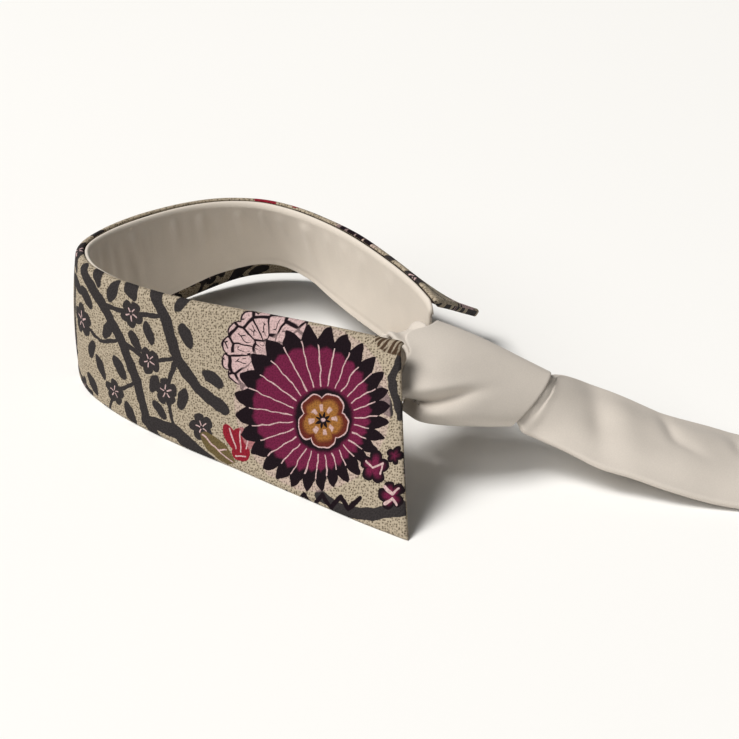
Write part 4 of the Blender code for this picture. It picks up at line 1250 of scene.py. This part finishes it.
def plain_material(name, tint, grain, strength, sheen):
    """Cream cloth: a fine even grain, slightly uneven in tone, with a soft bloom at grazing angles.

    Its yarns are about 0.2 mm apart, too fine to show, so its grain is drawn coarser than they are.
    """
    material = bpy.data.materials.new(name)
    material.use_nodes = True
    tree = material.node_tree
    tree.nodes.clear()
    place = put(tree, "TexCoord")
    weave = put(tree, "TexNoise", {"Vector": place.outputs["Object"], "Scale": 1.0 / grain,
                                   "Detail": 2.0, "Roughness": 0.6})
    patches = put(tree, "TexNoise", {"Vector": place.outputs["Object"], "Scale": PATCHES,
                                     "Detail": 2.0})
    tone = put(tree, "Math", (weave, YARN_TONE, 1 - YARN_TONE / 2), operation='MULTIPLY_ADD')
    wide = put(tree, "Math", (patches, PATCH_TONE, 1 - PATCH_TONE / 2), operation='MULTIPLY_ADD')
    tone = put(tree, "Math", (tone, wide), operation='MULTIPLY')
    base = put(tree, "VectorMath", (tint, tone), operation='SCALE')
    bump = put(tree, "Bump", {"Strength": strength, "Distance": 0.1 * MM, "Height": weave})
    shader = put(tree, "BsdfPrincipled", {"Base Color": base, "Roughness": 0.7, "IOR": 1.45,
                                          "Specular IOR Level": 0.3, "Sheen Weight": sheen,
                                          "Sheen Roughness": 0.4, "Normal": bump})
    put(tree, "OutputMaterial", {"Surface": shader})
    return material


def cream_crepe():
    """The one crepe that the whole tie band is made of."""
    found = bpy.data.materials.get("Cream crepe")
    if found is not None:
        return found
    cloth = bpy.context.scene.cloth_colours
    return plain_material("Cream crepe", tuple(cloth.cream), grain=0.45 * MM, strength=0.35,
                          sheen=0.15)


def add_strip(name, rows, thick, grid, nodes, tip_half=None, relief=()):
    """Builds one stretch of the tie band."""
    middle, half = strip_middle(rows, thick, grid, tip_half, relief)
    shell = cloth_shell(name, middle, half, half)
    finish_piece(shell, cream_crepe(), nodes)


class PrintedLeaf(bpy.types.Operator):
    """Builds the printed leaf of the collar, upper and under collar in one."""
    bl_idname = "collar_tie.printed_leaf"
    bl_label = "Printed Leaf"

    def execute(self, context):
        sizes = context.scene.collar_sizes
        middle, above, below, cut = printed_leaf(sizes)
        leaf = cloth_shell("printed_leaf", middle, above, below, cut=cut, under_shift=UNDER_CUT_SHIFT)
        material = print_material(context.scene.print_colours, sizes.crepe_grain / MM)
        finish_piece(leaf, material, ("upper_collar", "under_collar"))
        return {'FINISHED'}


class CollarLining(bpy.types.Operator):
    """Builds the gathered cream lining inside the collar."""
    bl_idname = "collar_tie.lining"
    bl_label = "Lining"

    def execute(self, context):
        middle, half = lining_surface(context.scene.collar_sizes)
        lining = cloth_shell("collar_lining", middle, half, half)
        tint = tuple(context.scene.cloth_colours.lining)
        material = plain_material("Cream lining", tint, grain=0.3 * MM, strength=0.2, sheen=0.1)
        finish_piece(lining, material, ("collar_stand",))
        return {'FINISHED'}


class NeckBands(bpy.types.Operator):
    """Builds the tie band on both sides between the lining and the knot."""
    bl_idname = "collar_tie.neck_bands"
    bl_label = "Neck Bands"

    def execute(self, context):
        for name, sections, inside in (("neck_band_near", NECK_NEAR_SECTIONS, NECK_NEAR_INSIDE),
                                       ("neck_band_far", NECK_FAR_SECTIONS, NECK_FAR_INSIDE)):
            rows = np.vstack([sections, inside_wrap(inside)])
            add_strip("tie_" + name, rows, BAND_THICK, NECK_GRID, (name,))
        return {'FINISHED'}


class Knot(bpy.types.Operator):
    """Builds the knot: its front wrap and the stretch that turns over it."""
    bl_idname = "collar_tie.knot"
    bl_label = "Knot"

    def execute(self, context):
        middle, half = wrap_middle()
        wrap = cloth_shell("knot_front", middle, half, half, closed=True)
        finish_piece(wrap, cream_crepe(), ("knot_wrap",))
        rows = np.vstack([inside_wrap(PASS_INSIDE), PASS_SECTIONS])
        hollow = -PASS_HOLLOW * np.sqrt(np.linspace(0, 1, len(rows)))
        add_strip("knot_turn", np.column_stack([rows, hollow]), BAND_THICK, PASS_GRID,
                  ("knot_pass",))
        return {'FINISHED'}


class Blade(bpy.types.Operator):
    """Builds the wide blade of the tie."""
    bl_idname = "collar_tie.blade"
    bl_label = "Blade"

    def execute(self, context):
        rows = np.vstack([inside_wrap(BLADE_INSIDE), BLADE_SECTIONS])
        add_strip("tie_blade", rows, BLADE_THICK, BLADE_GRID, ("front_blade",),
                  BLADE_TIP_HALF, BLADE_FOLDS)
        return {'FINISHED'}


class Tail(bpy.types.Operator):
    """Builds the narrow tail under the blade."""
    bl_idname = "collar_tie.tail"
    bl_label = "Tail"

    def execute(self, context):
        rows = np.vstack([inside_wrap(TAIL_INSIDE), TAIL_SECTIONS])
        add_strip("tie_tail", rows, BAND_THICK, TAIL_GRID, ("back_tail",),
                  TAIL_TIP_HALF)
        return {'FINISHED'}


class Stage(bpy.types.Operator):
    """Adds the floor, the soft light and the camera."""
    bl_idname = "collar_tie.stage"
    bl_label = "Stage"

    def execute(self, context):
        scene = context.scene
        settings = scene.collar_stage
        bpy.ops.mesh.primitive_plane_add(size=FLOOR_SIZE, location=(0.0, 0.0, -FLOOR_GAP))
        floor = context.active_object
        floor.name = FLOOR
        material = bpy.data.materials.new("Pale table")
        material.use_nodes = True
        tree = material.node_tree
        tree.nodes.clear()
        place = put(tree, "TexCoord")
        tone = put(tree, "TexNoise", {"Vector": place.outputs["Object"], "Scale": 3.0})
        tone = put(tree, "Math", (tone, 0.02, 0.99), operation='MULTIPLY_ADD')
        base = put(tree, "VectorMath", (tuple(settings.floor), tone), operation='SCALE')
        shader = put(tree, "BsdfPrincipled", {"Base Color": base, "Roughness": 0.9,
                                              "Specular IOR Level": 0.1})
        put(tree, "OutputMaterial", {"Surface": shader})
        floor.data.materials.append(material)

        for name, x, y, z, size, share in SOFT_BOXES:
            lamp = bpy.data.lights.new(name, 'AREA')
            lamp.size = size
            lamp.energy = settings.key * share
            lamp.color = KEY_COLOUR
            box = bpy.data.objects.new(name, lamp)
            box.location = Vector((x, y, z))
            box.rotation_euler = box.location.to_track_quat('Z', 'Y').to_euler()
            scene.collection.objects.link(box)

        world = bpy.data.worlds.new("white_room")
        world.use_nodes = True
        world.node_tree.nodes.clear()
        room = put(world.node_tree, "Background", (colour(FILL_COLOUR), settings.fill))
        put(world.node_tree, "OutputWorld", {"Surface": room})
        scene.world = world

        turn, rise = settings.azimuth, settings.elevation
        back = Vector((np.sin(turn) * np.cos(rise), -np.cos(turn) * np.cos(rise), np.sin(rise)))
        right = Vector((np.cos(turn), np.sin(turn), 0.0))
        lens = bpy.data.cameras.new("view")
        lens.lens = settings.lens
        lens.sensor_width = SENSOR_WIDTH
        camera = bpy.data.objects.new("view", lens)
        camera.matrix_world = Matrix((right, back.cross(right), back)).transposed().to_4x4()
        camera.location = Vector(-ORIGIN * MM) + back * settings.distance
        scene.collection.objects.link(camera)
        scene.camera = camera
        scene.view_settings.view_transform = "Standard"
        return {'FINISHED'}


class CollarPanel(bpy.types.Panel):
    """Lists the collar's settings and the steps that build it."""
    bl_idname = "COLLAR_TIE_PT_panel"
    bl_label = "Detachable Collar Tie"
    bl_space_type = 'VIEW_3D'
    bl_region_type = 'UI'
    bl_category = "Collar Tie"

    def draw(self, context):
        """Draws every setting, then a button for each step."""
        for group, kind in SETTINGS:
            for name in kind.__annotations__:
                self.layout.prop(getattr(context.scene, group), name)
        for step in STEPS:
            self.layout.operator(step.bl_idname)


SETTINGS = (("collar_sizes", CollarSizes), ("print_colours", PrintColours),
            ("cloth_colours", ClothColours), ("collar_stage", StageSettings))
STEPS = (PrintedLeaf, CollarLining, NeckBands, Knot, Blade, Tail, Stage)


def register():
    """Registers the settings, the steps and the panel."""
    for group, kind in SETTINGS:
        bpy.utils.register_class(kind)
        setattr(bpy.types.Scene, group, PointerProperty(type=kind))
    for step in (*STEPS, CollarPanel):
        bpy.utils.register_class(step)


def unregister():
    """Removes the panel, the steps and the settings."""
    for step in (CollarPanel, *reversed(STEPS)):
        bpy.utils.unregister_class(step)
    for group, kind in reversed(SETTINGS):
        delattr(bpy.types.Scene, group)
        bpy.utils.unregister_class(kind)


def main():
    """Builds every piece and the stage in order."""
    register()
    for step in STEPS:
        area, name = step.bl_idname.split(".")
        getattr(getattr(bpy.ops, area), name)()


if __name__ == "__main__":
    main()
